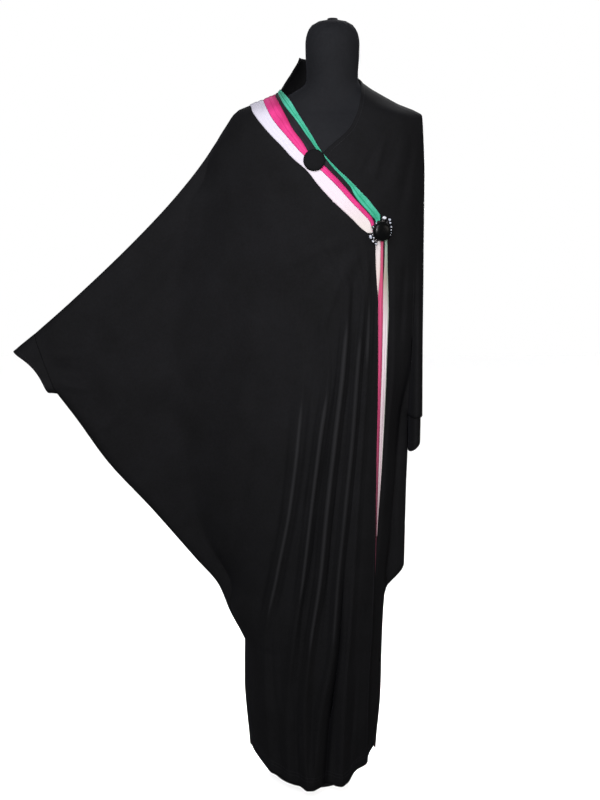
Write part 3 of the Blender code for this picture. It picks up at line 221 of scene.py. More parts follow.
# Share of a fold's rise on its narrow crest, how narrow that is, and the hollows beside it
foldCrest = {"share": 0.50, "softShare": 0.35, "width": 0.32, "hollow": 0.14, "hollowAt": 0.60,
             "hollowWidth": 0.34, "fullRise": 0.012, "softBelow": 0.42, "softEnd": 0.20}
# Where each ridge gets a painted highlight on its crest and painted shade beside it: from and to, and how
# much
ridgeHighlightFade = 0.12
paintedRidgeHighlights = {"A": (0.95, 0.35, 0.90), "B": (0.97, 0.38, 0.85), "C": (1.12, 0.27, 0.85),
               "D": (1.10, 0.28, 0.75), "E": (1.16, 0.88, 0.80), "G": (0.97, 0.40, 0.70),
               "H": (1.02, 0.32, 0.85), "I": (0.90, 0.30, 0.75), "J": (1.02, 0.36, 0.90),
               "K": (1.05, 0.46, 0.75), "L": (0.92, 0.45, 0.55)}

# Creases, front and back: half width, rise (below 0 a trough), then the x and
# z of the points that it runs through
creases = metres({
    -1: [
        # The spread wing hangs from the over-arm in long slack waves
        (34, 4.2, -225, 1405, -300, 1275, -420, 1135, -560, 1000),
        (30, -3.6, -215, 1330, -290, 1190, -400, 1050, -520, 930),
        (42, 5, -185, 1290, -250, 1110, -345, 930, -450, 800),
        (30, -3.4, -165, 1180, -215, 990, -290, 830, -370, 690),
        (34, 4.6, -140, 1090, -180, 900, -225, 720, -275, 540),
        (18, -3, -165, 800, -190, 650, -215, 520),
        # Short pulls from the cuff's seam and along the under-arm seam
        (11, 2.8, -605, 962, -560, 960, -505, 972), (10, -2.2, -600, 938, -555, 930, -520, 928),
        (12, 2.6, -592, 908, -548, 892, -500, 890), (14, 3, -505, 790, -470, 820, -440, 870),
        (12, -2.4, -420, 680, -395, 725, -375, 780), (14, 3, -330, 575, -310, 625, -300, 690),
        (10, -2.6, -255, 480, -235, 530, -228, 590),
        # Pulls that fan out from the brooch
        (13, 2.8, 48, 1222, -15, 1198, -85, 1165, -150, 1140), (11, -2.4, 50, 1208, -5, 1165, -60, 1110),
        (13, 3.2, 56, 1200, 15, 1130, -20, 1040, -35, 960),
        (10, -2.8, 62, 1190, 42, 1120, 35, 1020, 28, 900), (8, 2.4, 72, 1185, 66, 1100, 60, 1000),
        # Faint ridges between the main folds of the skirt
        (11, 3, -108, 1020, -112, 930, -125, 840), (8, 3, -40, 760, -62, 620, -90, 480),
        (8, -3.2, -28, 700, -40, 560, -62, 420, -72, 260),
        (8, -3.4, 18, 760, 0, 600, -12, 440, -28, 280), (9, -3.4, 54, 320, 47, 190, 41, 70),
        (12, 3, -80, 220, -70, 140, -66, 60), (9, 3, -120, 420, -118, 300, -108, 160),
        (10, 3.4, -160, 300, -164, 200, -158, 110), (8, -3, -75, 240, -74, 150, -70, 80),
        # The hanging side: from the shoulder to the brooch, and down the sleeve
        (20, 3.4, 150, 1440, 135, 1370, 118, 1290), (14, -3.4, 168, 1430, 152, 1340, 132, 1250),
        (12, 2.8, 110, 1430, 92, 1370, 78, 1310), (10, -2.2, 85, 1400, 66, 1355, 50, 1325),
        (9, -3, 150, 1200, 146, 1080, 142, 960), (7, 2.2, 180, 1330, 181, 1180, 178, 1050),
        (5, -2, 186, 1120, 185, 1000, 186, 890), (10, -3.2, 128, 760, 126, 650, 132, 560),
        (12, 3, 146, 700, 142, 600, 146, 520), (9, -3, 104, 520, 98, 400, 96, 280),
    ],
    1: [
        # The back: slack across the shoulders, waves of the wing, faint lines by the folds
        (22, -3.4, -130, 1430, -20, 1405, 110, 1425), (18, 3, -150, 1370, -30, 1345, 120, 1365),
        (12, -2.6, -60, 1500, -15, 1480, 35, 1490),
        (34, 4.4, -225, 1400, -305, 1260, -430, 1115, -560, 990),
        (30, -3.6, -210, 1300, -280, 1170, -380, 1030, -500, 915),
        (40, 5, -195, 1220, -255, 1060, -340, 910, -440, 790),
        (28, -3.6, -180, 1100, -225, 930, -285, 790, -360, 670),
        (20, 3.6, -200, 900, -225, 740, -255, 560), (12, 2.8, -600, 960, -550, 952, -500, 960),
        (11, -2.4, -596, 925, -550, 912, -515, 905), (13, 2.8, -470, 750, -440, 800, -420, 860),
        (10, -2.6, -350, 600, -330, 650, -318, 710), (10, 3, -70, 1060, -74, 900, -80, 740),
        (9, -3, -10, 1000, -14, 850, -22, 690), (10, 2.8, 56, 1020, 52, 860, 40, 690, 28, 540),
        (9, -3, 108, 1060, 106, 900, 94, 720), (8, 2.8, -130, 560, -128, 400, -124, 240),
        (8, -3.2, -80, 520, -82, 360, -80, 200), (8, 2.6, -34, 420, -36, 280, -32, 150),
        (8, -3, 18, 480, 12, 320, 12, 160), (14, 3, 150, 1420, 146, 1330, 144, 1240),
        (6, -2.2, 184, 1240, 184, 1100, 184, 960),
    ],
})
# Slight unevenness of worn cloth: height, wavelength and direction of each wave
unevenness = [
    (0.00040, 0.071, 18), (0.00030, 0.053, 155), (0.00045, 0.117, 38), (0.00020, 0.037, 170),
    (0.00060, 0.163, 140), (0.00040, 0.230, 80),
]


def smooth(at, known, values):
    # Monotone cubic through the known values, level outside them
    at = np.clip(at, known[0], known[-1])
    step = np.diff(known)
    slope = np.diff(values) / step
    tangent = np.zeros(len(known))
    tangent[0], tangent[-1] = slope[0], slope[-1]
    before, after = slope[:-1], slope[1:]
    same = before * after > 0
    tangent[1:-1][same] = 2 * before[same] * after[same] / (before[same] + after[same])
    index = np.clip(np.searchsorted(known, at) - 1, 0, len(step) - 1)
    width = step[index]
    t = (at - known[index]) / width
    return (values[index] * (1 + 2 * t) * (1 - t) ** 2 + values[index + 1] * t * t * (3 - 2 * t)
            + tangent[index] * width * t * (1 - t) ** 2
            - tangent[index + 1] * width * t * t * (1 - t))


def curve(points, at):
    # A smooth line through points, at places counted from the first as 0
    known = np.arange(len(points), dtype=float)
    return np.column_stack([smooth(at, known, points[:, k]) for k in (0, 1)])


def fromTable(table, at, key=0, value=1):
    rows = np.array(sorted(table, key=lambda row: row[key]), float)
    return smooth(at, rows[:, key], rows[:, value])


def xOn(name, z):
    return fromTable(edges[name], z, 1, 0)


def ease(value):
    value = np.clip(value, 0.0, 1.0)
    return value * value * (3 - 2 * value)


def bell(reach):
    # 1 at the middle, 0 from a reach of 1
    return np.cos(np.clip(reach, 0, 1) * math.pi / 2) ** 2


def rounding(distance, reach):
    return np.sqrt(1 - (1 - np.clip(distance / reach, 0, 1)) ** 2)


def sampled(name, step=0.012):
    # A finely cut line along an edge
    heights = [z for _, z in edges[name]]
    z = np.linspace(max(heights), min(heights), max(2, int((max(heights) - min(heights)) / step)))
    z = np.unique(np.concatenate([z, heights]))[::-1]
    return np.column_stack([xOn(name, z), z])


outlineLeft = np.concatenate([sampled("overArm")] + [
    sampled(name)[1:] for name in ("cuffSeam", "underArm", "skirtLeft")
])
outlineShoulder, outlineSleeve = sampled("shoulderRight"), sampled("sleeveRight")
outlineSide = sampled("sideRight")
sewnLines = [sampled("overArm"), sampled("underArm"), outlineSleeve, outlineSide]
shoulderLines = [
    outlineLeft[(outlineLeft[:, 1] <= edges["wrapEdge"][0][1]) & (outlineLeft[:, 1] >= topHeight)],
    outlineShoulder[outlineShoulder[:, 1] <= edges["neckEdge"][0][1]],
]


def onOutline(outline, z):
    return np.interp(z, outline[::-1, 1], outline[::-1, 0])


def leftX(z):
    return onOutline(outlineLeft, z)


def rightX(z):
    top = onOutline(np.concatenate([outlineShoulder, outlineSleeve[1:]]), z)
    return np.where(z >= mouthHeight, top, onOutline(outlineSide, z))


def creaseX(z):
    return np.where(z >= mouthHeight, xOn("sleeveCrease", z), onOutline(outlineSide, z))


def ridgeZ(x):
    line = np.concatenate([outlineLeft[outlineLeft[:, 1] > shoulderBottom], outlineShoulder])
    line = line[np.argsort(line[:, 0])]
    return np.interp(x, line[:, 0], line[:, 1])


def nearest(line, x, z):
    # Distance to a line of points, and how far along it the nearest place is, from 0 to 1
    best, where = np.full(x.shape, np.inf), np.zeros(x.shape)
    for k, ((x0, z0), (x1, z1)) in enumerate(zip(line[:-1], line[1:])):
        wayX, wayZ = x1 - x0, z1 - z0
        along = np.clip(((x - x0) * wayX + (z - z0) * wayZ) / (wayX ** 2 + wayZ ** 2), 0, 1)
        away = np.hypot(x - x0 - along * wayX, z - z0 - along * wayZ)
        where = np.where(away < best, (k + along) / (len(line) - 1), where)
        best = np.minimum(best, away)
    return best, where


def distanceTo(lines, x, z):
    return np.minimum.reduce([nearest(line, x, z)[0] for line in lines])


def blended(a, b):
    return 0.5 * (a + b + np.sqrt((a - b) ** 2 + garment["blend"] * a * b))


def section(z, name):
    return fromTable(sections, z, 0, sectionNames.index(name))


def foldLine(name, z, column=1):
    # Where a fold runs, or its rise in column 2
    return smooth(z, np.array(foldHeights)[::-1], np.array(everyFold[name][column])[::-1])


def foldRise(x, z, face, tone=False):
    # Rise of the folds, or with tone how sharp a ridge (to 1) or a hollow (to -1) is there: the mask for
    # painted highlight on ridges and painted shade in hollows
    total = np.zeros(x.shape)
    span = foldCrest["softBelow"] - foldCrest["softEnd"]
    sharp = ease((z - foldCrest["softEnd"]) / span)
    for name, (halfWidth, _, _) in folds[face].items():
        rise = foldLine(name, z, 2)
        reach = np.abs(x - foldLine(name, z)) / halfWidth
        body, crest = bell(reach), bell(reach / foldCrest["width"])
        hollow = bell(np.abs(reach - foldCrest["hollowAt"]) / foldCrest["hollowWidth"])
        if tone:
            top, bottom, strength = paintedRidgeHighlights.get(name, (1.3, 0.0, 0.0))
            shown = strength * ease((top - z) / ridgeHighlightFade) * ease((z - bottom) / ridgeHighlightFade)
            total += shown * (crest - 0.5 * hollow)
            total += np.clip(rise / foldCrest["fullRise"], -1, 0) * body
        else:
            soft = foldCrest["softShare"]
            share = foldCrest["share"] * (soft + (1 - soft) * sharp)
            total += rise * ((1 - share) * body + share * crest - foldCrest["hollow"] * sharp * hollow)
    return total


def creaseRise(x, z, face):
    # Each crease is a soft wave across its line that dies out at both ends
    total = np.zeros(x.shape)
    for halfWidth, rise, *path in creases[face]:
        last = len(path) // 2 - 1
        line = curve(np.array(path).reshape(-1, 2), np.linspace(0, last, 6 * last + 1))
        low, high = line.min(axis=0) - halfWidth, line.max(axis=0) + halfWidth
        near = (x > low[0]) & (x < high[0]) & (z > low[1]) & (z < high[1])
        away, where = nearest(line, x[near], z[near])
        ends = ease(where / garment["creaseStart"]) * ease((1 - where) / garment["creaseEnd"])
        total[near] += rise * ends * bell(away / halfWidth)
    # The waves are bent, or they would run straight across the cloth
    for height, wavelength, direction in unevenness:
        turn = math.radians(direction)
        along = (x * math.cos(turn) + z * math.sin(turn)) * 2 * math.pi / wavelength
        total += height * np.sin(along + face + 2.1 * np.sin(z * 9.0 + x * 5.0))
    return total


def depth(x, z, face, creased=True):
    # Distance of the cloth from the seam plane; 0 on the outline
    middle = section(z, "middle")
    full = section(z, "front" if face < 0 else "back")
    tableLeft, outlineEnd = section(z, "tubeLeft"), leftX(z)
    tubeLeft = (tableLeft + outlineEnd + np.hypot(tableLeft - outlineEnd, garment["shoulderTurn"])) / 2
    tubeRight = np.minimum(section(z, "tubeRight"), rightX(z))
    end = np.where(x < middle, tubeLeft, tubeRight)
    power = np.where(x < middle, section(z, "powerLeft"), 0.5)
    reach = np.clip((x - middle) / (end - middle), 0, 1)
    tube = full * (1 - reach ** 2) ** power
    tube = tube * rounding(distanceTo(shoulderLines, x, z), garment["shoulderRounding"])
    near = distanceTo(sewnLines, x, z)
    flat = np.where(x < middle, section(z, "wing"), section(z, "valley"))
    wing = flat * rounding(near, garment["wingRounding"])
    crease, outer = creaseX(z), rightX(z)
    half = np.maximum((outer - crease) / 2, garment["thinnest"])
    across = np.clip(np.abs(x - (outer + crease) / 2) / half, 0, 1)
    fade = ease((garment["sleeveFade"] - z) / (garment["sleeveFade"] - garment["sleeveFull"]))
    sleeve = np.where((z >= mouthHeight) & (x > crease),
                      garment["sleeveHalfDepth"] * fade * np.sqrt(1 - across ** 2), 0.0)
    body = blended(tube, blended(wing, sleeve))
    inside = ease(near / garment["foldEnd"])
    body = body + foldRise(x, z, face) * inside
    if creased:
        body = body + creaseRise(x, z, face) * inside * ease(body / garment["creaseDepth"])
    return body


def liftFade(z):
    return ease((garment["liftTop"] - z) / garment["liftFade"])


def wrapLift(x, z):
    fromNeck = x - xOn("neckEdge", np.maximum(z, levelHeight)) + garment["wrapStart"]
    return garment["wrapLift"] * ease(fromNeck / garment["wrapFade"]) * liftFade(z)


def underLift(x, z):
    fromCrease = ease((creaseX(z) - x) / garment["underFade"])
    beside = ease((xOn("wrapEdge", z) + garment["underStart"] - x) / garment["underBeside"])
    low = np.where(z > levelHeight, 1.0, beside)
    return garment["underLift"] * fromCrease * low * liftFade(z)


def noLift(x, z):
    return np.zeros(x.shape)


print("shape ready")

# Panels, as fine grids over the same shape


class PanelRows:
    # Rows that follow the shoulders at the top and are level from levelHeight down
    def __init__(self, leftEdge, rightEdge, leftTop, rightTop, topLine):
        self.leftEdge, self.rightEdge = leftEdge, rightEdge
        self.leftTop, self.rightTop, self.topLine = leftTop, rightTop, topLine

    def fade(self, level):
        return np.maximum(0.0, (level - levelHeight) / (topHeight - levelHeight))

    def ends(self, level):
        zLeft = level + (self.leftTop - topHeight) * self.fade(level)
        zRight = level + (self.rightTop - topHeight) * self.fade(level)
        return self.leftEdge(zLeft), zLeft, self.rightEdge(zRight), zRight

    def chord(self, level, x):
        xLeft, zLeft, xRight, zRight = self.ends(level)
        return zLeft + (zRight - zLeft) * (x - xLeft) / (xRight - xLeft)

    def height(self, level, x):
        top = np.full(level.shape, topHeight)
        xLeft, _, xRight, _ = self.ends(top)
        inside = (x >= xLeft - 1e-9) & (x <= xRight + 1e-9)
        arch = np.where(inside, self.topLine(x) - self.chord(top, x), 0.0)
        return self.chord(level, x) + arch * self.fade(level)

    def crossing(self, level, line):
        # x where a line x(z) crosses each row
        low, _, high, _ = self.ends(level)
        for _ in range(40):  # halves the width each time
            x = (low + high) / 2
            ahead = line(self.height(level, x)) > x
            low, high = np.where(ahead, x, low), np.where(ahead, high, x)
        return (low + high) / 2


def evenly(start, end, count):
    return start[:, None] + (end - start)[:, None] * (np.arange(1, count + 1) / count)


def towardEdge(edge, inner, count):
    # From an outer edge inwards, closer together near the edge
    k = np.arange(count + 1) / count
    return edge[:, None] + (inner - edge)[:, None] * (1 - np.cos(k * math.pi / 2))


def through(start, marks, count):
    starts = [start] + marks[:-1]
    return np.concatenate([evenly(a, b, count) for a, b in zip(starts, marks)], axis=1)


def layoutShare(z):
    return ease((levelHeight - z) / (levelHeight - foldLayoutHeight))[:, None]


def ribbonLine(name, z):
    # Edge between ribbons, run on evenly below the ribbons' ends
    table = ribbonLines[name]
    inner, outer = xOn("wrapInner", z), xOn("wrapEdge", z)
    below = inner + (outer - inner) * list(ribbonLines).index(name) / len(ribbonLines)
    share = ease((ribbonEnd - z) / garment["ribbonFade"])
    return (1 - share) * fromTable(table, np.maximum(z, table[-1][1]), 1, 0) + share * below


def ribbonCrossings(rows, level):
    return [rows.crossing(level, lambda z, name=name: ribbonLine(name, z)) for name in ribbonLines]


panelColumns = {"wing": 44, "wingShare": 0.35, "body": 84, "ribbon": 5, "under": 46,
                "sleeve": 36, "nape": 40, "besideLeft": 40, "besideRight": 30, "fold": 8,
                "outside": 0.01}


def sleeveColumns(rows, level, share):
    # The crease beside the sleeve, and the columns over the sleeve
    _, _, xRight, zRight = rows.ends(level)
    crease = np.where(zRight < mouthHeight, xRight, rows.crossing(level, creaseX))
    outer = np.where(crease < xRight, xRight, crease + panelColumns["outside"])
    count = panelColumns["sleeve"]
    turn = np.arange(1, count + 1) * math.pi / count
    roundLine = crease[:, None] + (outer - crease)[:, None] * (1 - np.cos(turn)) / 2
    return crease, (1 - share) * evenly(crease, outer, count) + share * roundLine


def wrapColumns(rows, level):
    xLeft, zLeft, xRight, _ = rows.ends(level)
    lines = ribbonCrossings(rows, level)
    inner = xLeft + (lines[0] - xLeft) * panelColumns["wingShare"]
    spread = np.concatenate([towardEdge(xLeft, inner, panelColumns["wing"]),
                             evenly(inner, lines[0], panelColumns["body"])], axis=1)
    body = xOn("bodyLeft", zLeft)
    marks = [foldLine(name, zLeft) for name in "ABCDE"] + [lines[0]]
    folded = np.concatenate([towardEdge(xLeft, body, panelColumns["wing"]),
                             through(body, marks, panelColumns["body"] // len(marks))], axis=1)
    share = layoutShare(zLeft)
    trim = through(lines[0], lines[1:] + [xRight], panelColumns["ribbon"])
    return np.concatenate([(1 - share) * spread + share * folded, trim], axis=1)


def underColumns(rows, level):
    xLeft, zLeft, _, _ = rows.ends(level)
    crease, sleeve = sleeveColumns(rows, level, layoutShare(zLeft))
    body = evenly(xLeft, crease, panelColumns["under"])
    return np.concatenate([xLeft[:, None], body, sleeve], axis=1)


def backColumns(rows, level):
    xLeft, zLeft, _, zRight = rows.ends(level)
    share = layoutShare(zLeft)
    crease, sleeve = sleeveColumns(rows, level, share)
    topLeft = rows.ends(np.array([topHeight]))[0]
    nape = edges["napeEdge"]
    napeLeft, napeRight = (
        xLeft + (crease - xLeft) * (x - topLeft) / (creaseX(zRight) - topLeft)
        for x in (nape[0][0], nape[-1][0]))
    spread = np.concatenate([
        xLeft[:, None], evenly(xLeft, napeLeft, panelColumns["besideLeft"]),
        evenly(napeLeft, napeRight, panelColumns["nape"]),
        evenly(napeRight, crease, panelColumns["besideRight"])], axis=1)
    body = xOn("bodyLeft", zLeft)
    marks = [foldLine(name, zLeft) for name in "GHIJKL"] + [crease]
    wing = spread.shape[1] - 1 - len(marks) * panelColumns["fold"]
    folded = np.concatenate([towardEdge(xLeft, body, wing),
                             through(body, marks, panelColumns["fold"])], axis=1)
    return np.concatenate([(1 - share) * spread + share * folded, sleeve], axis=1)


# Rows of the solids with finer ones between them
panelLevel = [topHeight]
for mark in rowHeights[1:]:
    count = max(1, round((panelLevel[-1] - mark) / garment["rowStep"]))
    panelLevel += list(np.linspace(panelLevel[-1], mark, count + 1)[1:])
panelLevel = np.array(panelLevel)


def rowAt(z):
    return int(np.argmin(np.abs(panelLevel - z)))


def clothPoints(rows, level, x, face):
    # Points of the cloth's common surface at x on each row
    z = rows.height(level[:, None] * np.ones_like(x), x)
    drop = ease((hemBlendTop - level) / (hemBlendTop - hemBase))[:, None]
    hem = fromTable(hemTable, x, 0, 1 if face < 0 else 2)
    return np.stack([x, face * depth(x, z, face), z + (hem - hemBase) * drop], axis=-1)


def unit(vectors):
    return vectors / np.maximum(np.linalg.norm(vectors, axis=-1, keepdims=True), 1e-12)


def gridNormals(points, face):
    normals = unit(np.cross(np.gradient(points, axis=0), np.gradient(points, axis=1)))
    return normals if face * normals[..., 1].mean() > 0 else -normals


def wayAlong(points):
    # Distance gone at each point of a line, or at each row of a grid
    steps = np.linalg.norm(np.diff(points, axis=0), axis=-1)
    return np.concatenate([[0.0], (steps.mean(axis=1) if steps.ndim > 1 else steps).cumsum()])


def clothCoordinates(points):
    # Distances along the cloth, across and down it, for the knit's pattern
    across = np.linalg.norm(np.diff(points, axis=1), axis=-1).cumsum(axis=1)
    across = np.concatenate([np.zeros((len(points), 1)), across], axis=1)
    down = wayAlong(points)[:, None] * np.ones(points.shape[1])
    middle = points.shape[1] // 2
    return np.stack([across - across[:, middle:middle + 1], -down], axis=-1)


def addPiece(name, vertices, faces, coordinates=None, flat=False):
    mesh = bpy.data.meshes.new(name)
    mesh.from_pydata([tuple(map(float, v)) for v in vertices], [], faces)
    mesh.update()
    if coordinates is not None:
        layer = mesh.uv_layers.new(name="cloth")
        corners = np.zeros(len(mesh.loops), int)
        mesh.loops.foreach_get("vertex_index", corners)
        layer.data.foreach_set("uv", np.asarray(coordinates)[corners].ravel())
    if not flat:
        mesh.shade_smooth()
    piece = addObject(name, mesh)
    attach(piece, "root")
    return piece


def sheetPiece(name, outer, inner, kept, coordinates, turnedOver=False, relief=None):
    # A closed thin shell between two layers of a grid, over its kept quads
    columns, below = outer.shape[1], outer.shape[0] * outer.shape[1]
    faces, rims = [], {}
    for i, j in np.argwhere(kept).tolist():
        at = i * columns + j
        ring = (at, at + 1, at + 1 + columns, at + columns)[::-1 if turnedOver else 1]
        faces += [ring, tuple(v + below for v in ring[::-1])]
        for start, end in zip(ring, ring[1:] + ring[:1]):
            if rims.pop((end, start), None) is None:
                rims[(start, end)] = True
    faces += [(end, start, start + below, end + below) for start, end in rims]
    # Points that no face uses are left out
    used, faces = np.unique(np.array(faces), return_inverse=True)
    vertices = np.concatenate([outer.reshape(-1, 3), inner.reshape(-1, 3)])[used]
    uv = np.concatenate([coordinates.reshape(-1, 2)] * 2)[used]
    piece = addPiece(name, vertices, faces.reshape(-1, 4).tolist(), uv)
    if relief is not None:
        # The relief attribute carries a mask of painted highlight and painted shade for the material
        layer = piece.data.attributes.new("relief", "FLOAT", "POINT")
        layer.data.foreach_set("value", np.concatenate([relief.ravel()] * 2)[used])
    return piece


def clearOfSeam(points, face):
    # Sewn walls stop just short of the seam plane
    points = points.copy()
    points[..., 1] = face * np.maximum(face * points[..., 1], garment["gap"] / 2)
    return points


def makePanel(name, rows, columns, liftOf, face, hasSleeve):
    points = clothPoints(rows, panelLevel, columns(rows, panelLevel), face)
    kept = np.ones((points.shape[0] - 1, points.shape[1] - 1), bool)
    normals = gridNormals(points, face)
    if hasSleeve:
        mouth, sleeve = rowAt(mouthHeight), panelColumns["sleeve"]
        kept[mouth:, -sleeve:] = False
        upper = gridNormals(points[:mouth + 1], face)
        normals[:mouth + 1, -sleeve:] = upper[:, -sleeve:]
        normals[mouth, -1 - sleeve] = (0.0, face, 0.0)
    lift = liftOf(points[..., 0], points[..., 2])[..., None]
    # The hem is turned up: twice the wall, with a soft step at its sewing line
    fromHem = (panelLevel - hemBase)[:, None, None]
    turned = ease((garment["hemWidth"] - fromHem) / garment["hemStep"] + 0.5)
    out = lift + garment["cloth"] / 2 + garment["hemProud"] * turned
    thick = garment["shown"] + (garment["hemWall"] - garment["shown"]) * turned
    outer = clearOfSeam(points + normals * out, face)
    inner = clearOfSeam(points + normals * (out - thick), face)
    # Mask of painted highlight on sharp ridges and painted shade in hollows, stored with the cloth for its
    # material
    tone = np.clip(foldRise(points[..., 0], points[..., 2], face, True), -1, 1)
    piece = sheetPiece(name, outer, inner, kept, clothCoordinates(points), face > 0, tone)
    print(name, "made:", len(piece.data.polygons), "faces")
    return piece, outer


def underLeft(z):
    # The neck's edge, then hidden below the wrap
    share = ease((ribbonEnd - z) / garment["underTuck"] + 1)
    return (1 - share) * xOn("neckEdge", z) + share * foldLine("E", z)


def napeTop(x):
    nape = edges["napeEdge"]
    inside = (x >= nape[0][0]) & (x <= nape[-1][0])
    return np.where(inside, fromTable(nape, x), ridgeZ(x))


shoulderEnd = edges["shoulderRight"][-1][1]
wrapRows = PanelRows(leftX, lambda z: xOn("wrapEdge", z), topHeight, edges["wrapEdge"][0][1], ridgeZ)
underRows = PanelRows(underLeft, rightX, edges["neckEdge"][0][1], shoulderEnd, ridgeZ)
backRows = PanelRows(leftX, rightX, topHeight, shoulderEnd, napeTop)
frontWrap, wrapSurface = makePanel("frontWrap", wrapRows, wrapColumns, wrapLift, -1, False)
frontUnder, underSurface = makePanel("frontUnder", underRows, underColumns, underLift, -1, True)
backPanel, backSurface = makePanel("backPanel", backRows, backColumns, noLift, 1, True)

# Ribbons: soft knit strips with long folds. Each fold is (place across, half width, rise,
# sideways drift); the scallop is how far the white one's outer edge waves
ribbonSizes = {
    "gap": 0.0003, "wall": 0.0012, "edge": 0.0004, "rim": 0.10, "rowStep": 0.0024,
    "tailStep": 0.004, "columns": 22, "scallop": 0.0007, "scallopLength": 0.0115,
    "scallopFade": 0.02,
    "white": {"folds": [(0.16, 0.20, 0.0007, 0.05), (0.46, 0.24, 0.0010, -0.07),
                        (0.78, 0.18, 0.0008, 0.05)], "wave": 0.060},
    "pink": {"folds": [(0.24, 0.24, 0.0012, 0.06), (0.60, 0.22, 0.0014, -0.06)], "wave": 0.050},
    "charcoal": {"folds": [(0.50, 0.30, 0.0010, 0.10)], "wave": 0.05},
    "green": {"folds": [(0.20, 0.16, 0.0014, 0.02), (0.52, 0.14, 0.0016, -0.02),
                        (0.82, 0.13, 0.0013, 0.02)], "wave": 0.060},
    "mint": {"folds": [(0.35, 0.22, 0.0010, 0.08), (0.72, 0.18, 0.0012, -0.06)], "wave": 0.09},
}


def stripProfile(sizes, across, along):
    # Height of a ribbon's top over its back, rounded off at both edges
    height = np.full(across.shape, ribbonSizes["wall"])
    for k, (place, halfWidth, rise, drift) in enumerate(sizes["folds"]):
        turn = along / sizes["wave"]
        centre = place + drift * 0.5 * (np.sin(turn * 1.7 + k * 2.0) + np.sin(turn * 0.9 + k))
        swell = 0.75 + 0.25 * np.sin(turn * 2.3 + 1.3 * k)
        height += rise * swell * bell(np.abs(across - centre) / halfWidth)
    rim = rounding(np.minimum(across, 1 - across), ribbonSizes["rim"])
    return ribbonSizes["edge"] + (height - ribbonSizes["edge"]) * rim


def makeStrip(name, sizes, points, liftOf, scallop=0.0):
    # A ribbon on the cloth, from the grid of points below it
    lift = liftOf(points[..., 0], points[..., 2])
    along = wayAlong(points[:, points.shape[1] // 2])[:, None]
    across = np.linspace(0, 1, points.shape[1])[None, :]
    way = unit(points[:, -1] - points[:, 0])[:, None, :]
    points = points + way * (ribbonSizes["gap"] / 2 * (1 - 2 * across)[..., None])
    if scallop:
        turn = along / ribbonSizes["scallopLength"]
        wave = scallop * (np.sin(turn) + 0.6 * np.sin(turn * 0.61 + 1.0))
        wave = wave * ease(along / ribbonSizes["scallopFade"])
        wave = wave * ease((along[-1] - along) / ribbonSizes["scallopFade"])
        points = points + way * (wave * (1 - across) ** 3)[..., None]
    normals = gridNormals(points, -1)
    across, along = across + 0 * along, along + 0 * across
    base = (lift + garment["cloth"] / 2 + garment["gap"])[..., None]
    top = base + stripProfile(sizes, across, along)[..., None]
    kept = np.ones((points.shape[0] - 1, points.shape[1] - 1), bool)
    return sheetPiece(name, clearOfSeam(points + normals * top, -1),
                      clearOfSeam(points + normals * base, -1), kept,
                      np.stack([across, -along], axis=-1))


def stripPoints(rows, level, start, end):
    across = np.linspace(0, 1, ribbonSizes["columns"] + 1)
    return clothPoints(rows, level, start[:, None] + (end - start)[:, None] * across, -1)


bandLevel = np.linspace(topHeight, ribbonEnd, int((topHeight - ribbonEnd) / ribbonSizes["rowStep"]))
bandLines = ribbonCrossings(wrapRows, bandLevel) + [wrapRows.ends(bandLevel)[2]]
bands = {}
for k, name in enumerate(["white", "pink", "charcoal", "green"]):
    grid = stripPoints(wrapRows, bandLevel, bandLines[k], bandLines[k + 1])
    bands[name] = makeStrip("band" + name.capitalize(), ribbonSizes[name], grid, wrapLift,
                            0.0 if k else ribbonSizes["scallop"])

# Ends of the ribbons below the brooch: z, then the white one's two edges, the pink one's
# right edge and the pale one's two edges
tailTable = metres([
    (1226.5, 78, 96, 102.2, 104, 110), (1195, 78.2, 97.2, 102.4, 105.6, 111.2),
    (1155, 78.5, 97.2, 102.6, 105, 112.2), (1125, 79, 95.5, 102.7, 103.6, 113.6),
    (1083.7, 80, 92.2, 103.1, 103.4, 115.2), (1060, 80.5, 91.2, 103.6, 103.9, 115.8),
    (958.8, 81, 90, 103.1, 103.4, 113.8), (877, 81.5, 89.5, 101.5, 101.8, 112.2),
    (773.2, 80.5, 88, 99.9, 100.3, 108.2), (650, 80, 87, 97.3, 97.6, 101),
    (580, 79, 86, 95.8, 96.2, 96.7), (500, 78, 85, 94.4, 94.8, 95.2), (452, 77, 84.5, 92.2, 92.6, 93),
    (45, 64, 71, 78, 78.5, 87),
])
# Where each tail ends, and the columns of its two edges
tailRuns = {"white": (1.0700, 1, 2), "pink": (0.4520, 2, 3), "mint": (0.5820, 4, 5)}
tails = {}
for name, (end, left, right) in tailRuns.items():
    level = np.linspace(ribbonEnd, end, int((ribbonEnd - end) / ribbonSizes["tailStep"]))
    grid = stripPoints(underRows, level, fromTable(tailTable, level, 0, left),
                       fromTable(tailTable, level, 0, right))
    tails[name] = makeStrip("tail" + name.capitalize(), ribbonSizes[name], grid, underLift)
print("ribbons made")

# Cuffs, open at both ends. Their edge is turned in: a thicker, softly rolled hem
cuffSizes = {"sag": 0.0120, "flare": 0.25, "around": 44, "along": 22, "hangingX": 0.1794,
             "hangingAround": 72, "hemFrom": 0.78, "hemFade": 0.06, "hemOut": 0.0002,
             "hemIn": 0.0008, "ripple": 0.0005, "rippleLength": 0.0065}
# The hanging cuff's rings: z, slant, half width, half depth
hangingCuff = metres([
    (858, 0, 11.8, 47), (832, 1, 12.2, 47), (800, 5, 12.3, 46), (764, 9.5, 11.9, 45),
])


def turns(count, twist=0.0):
    return [2 * math.pi * (j + twist) / count for j in range(count)]


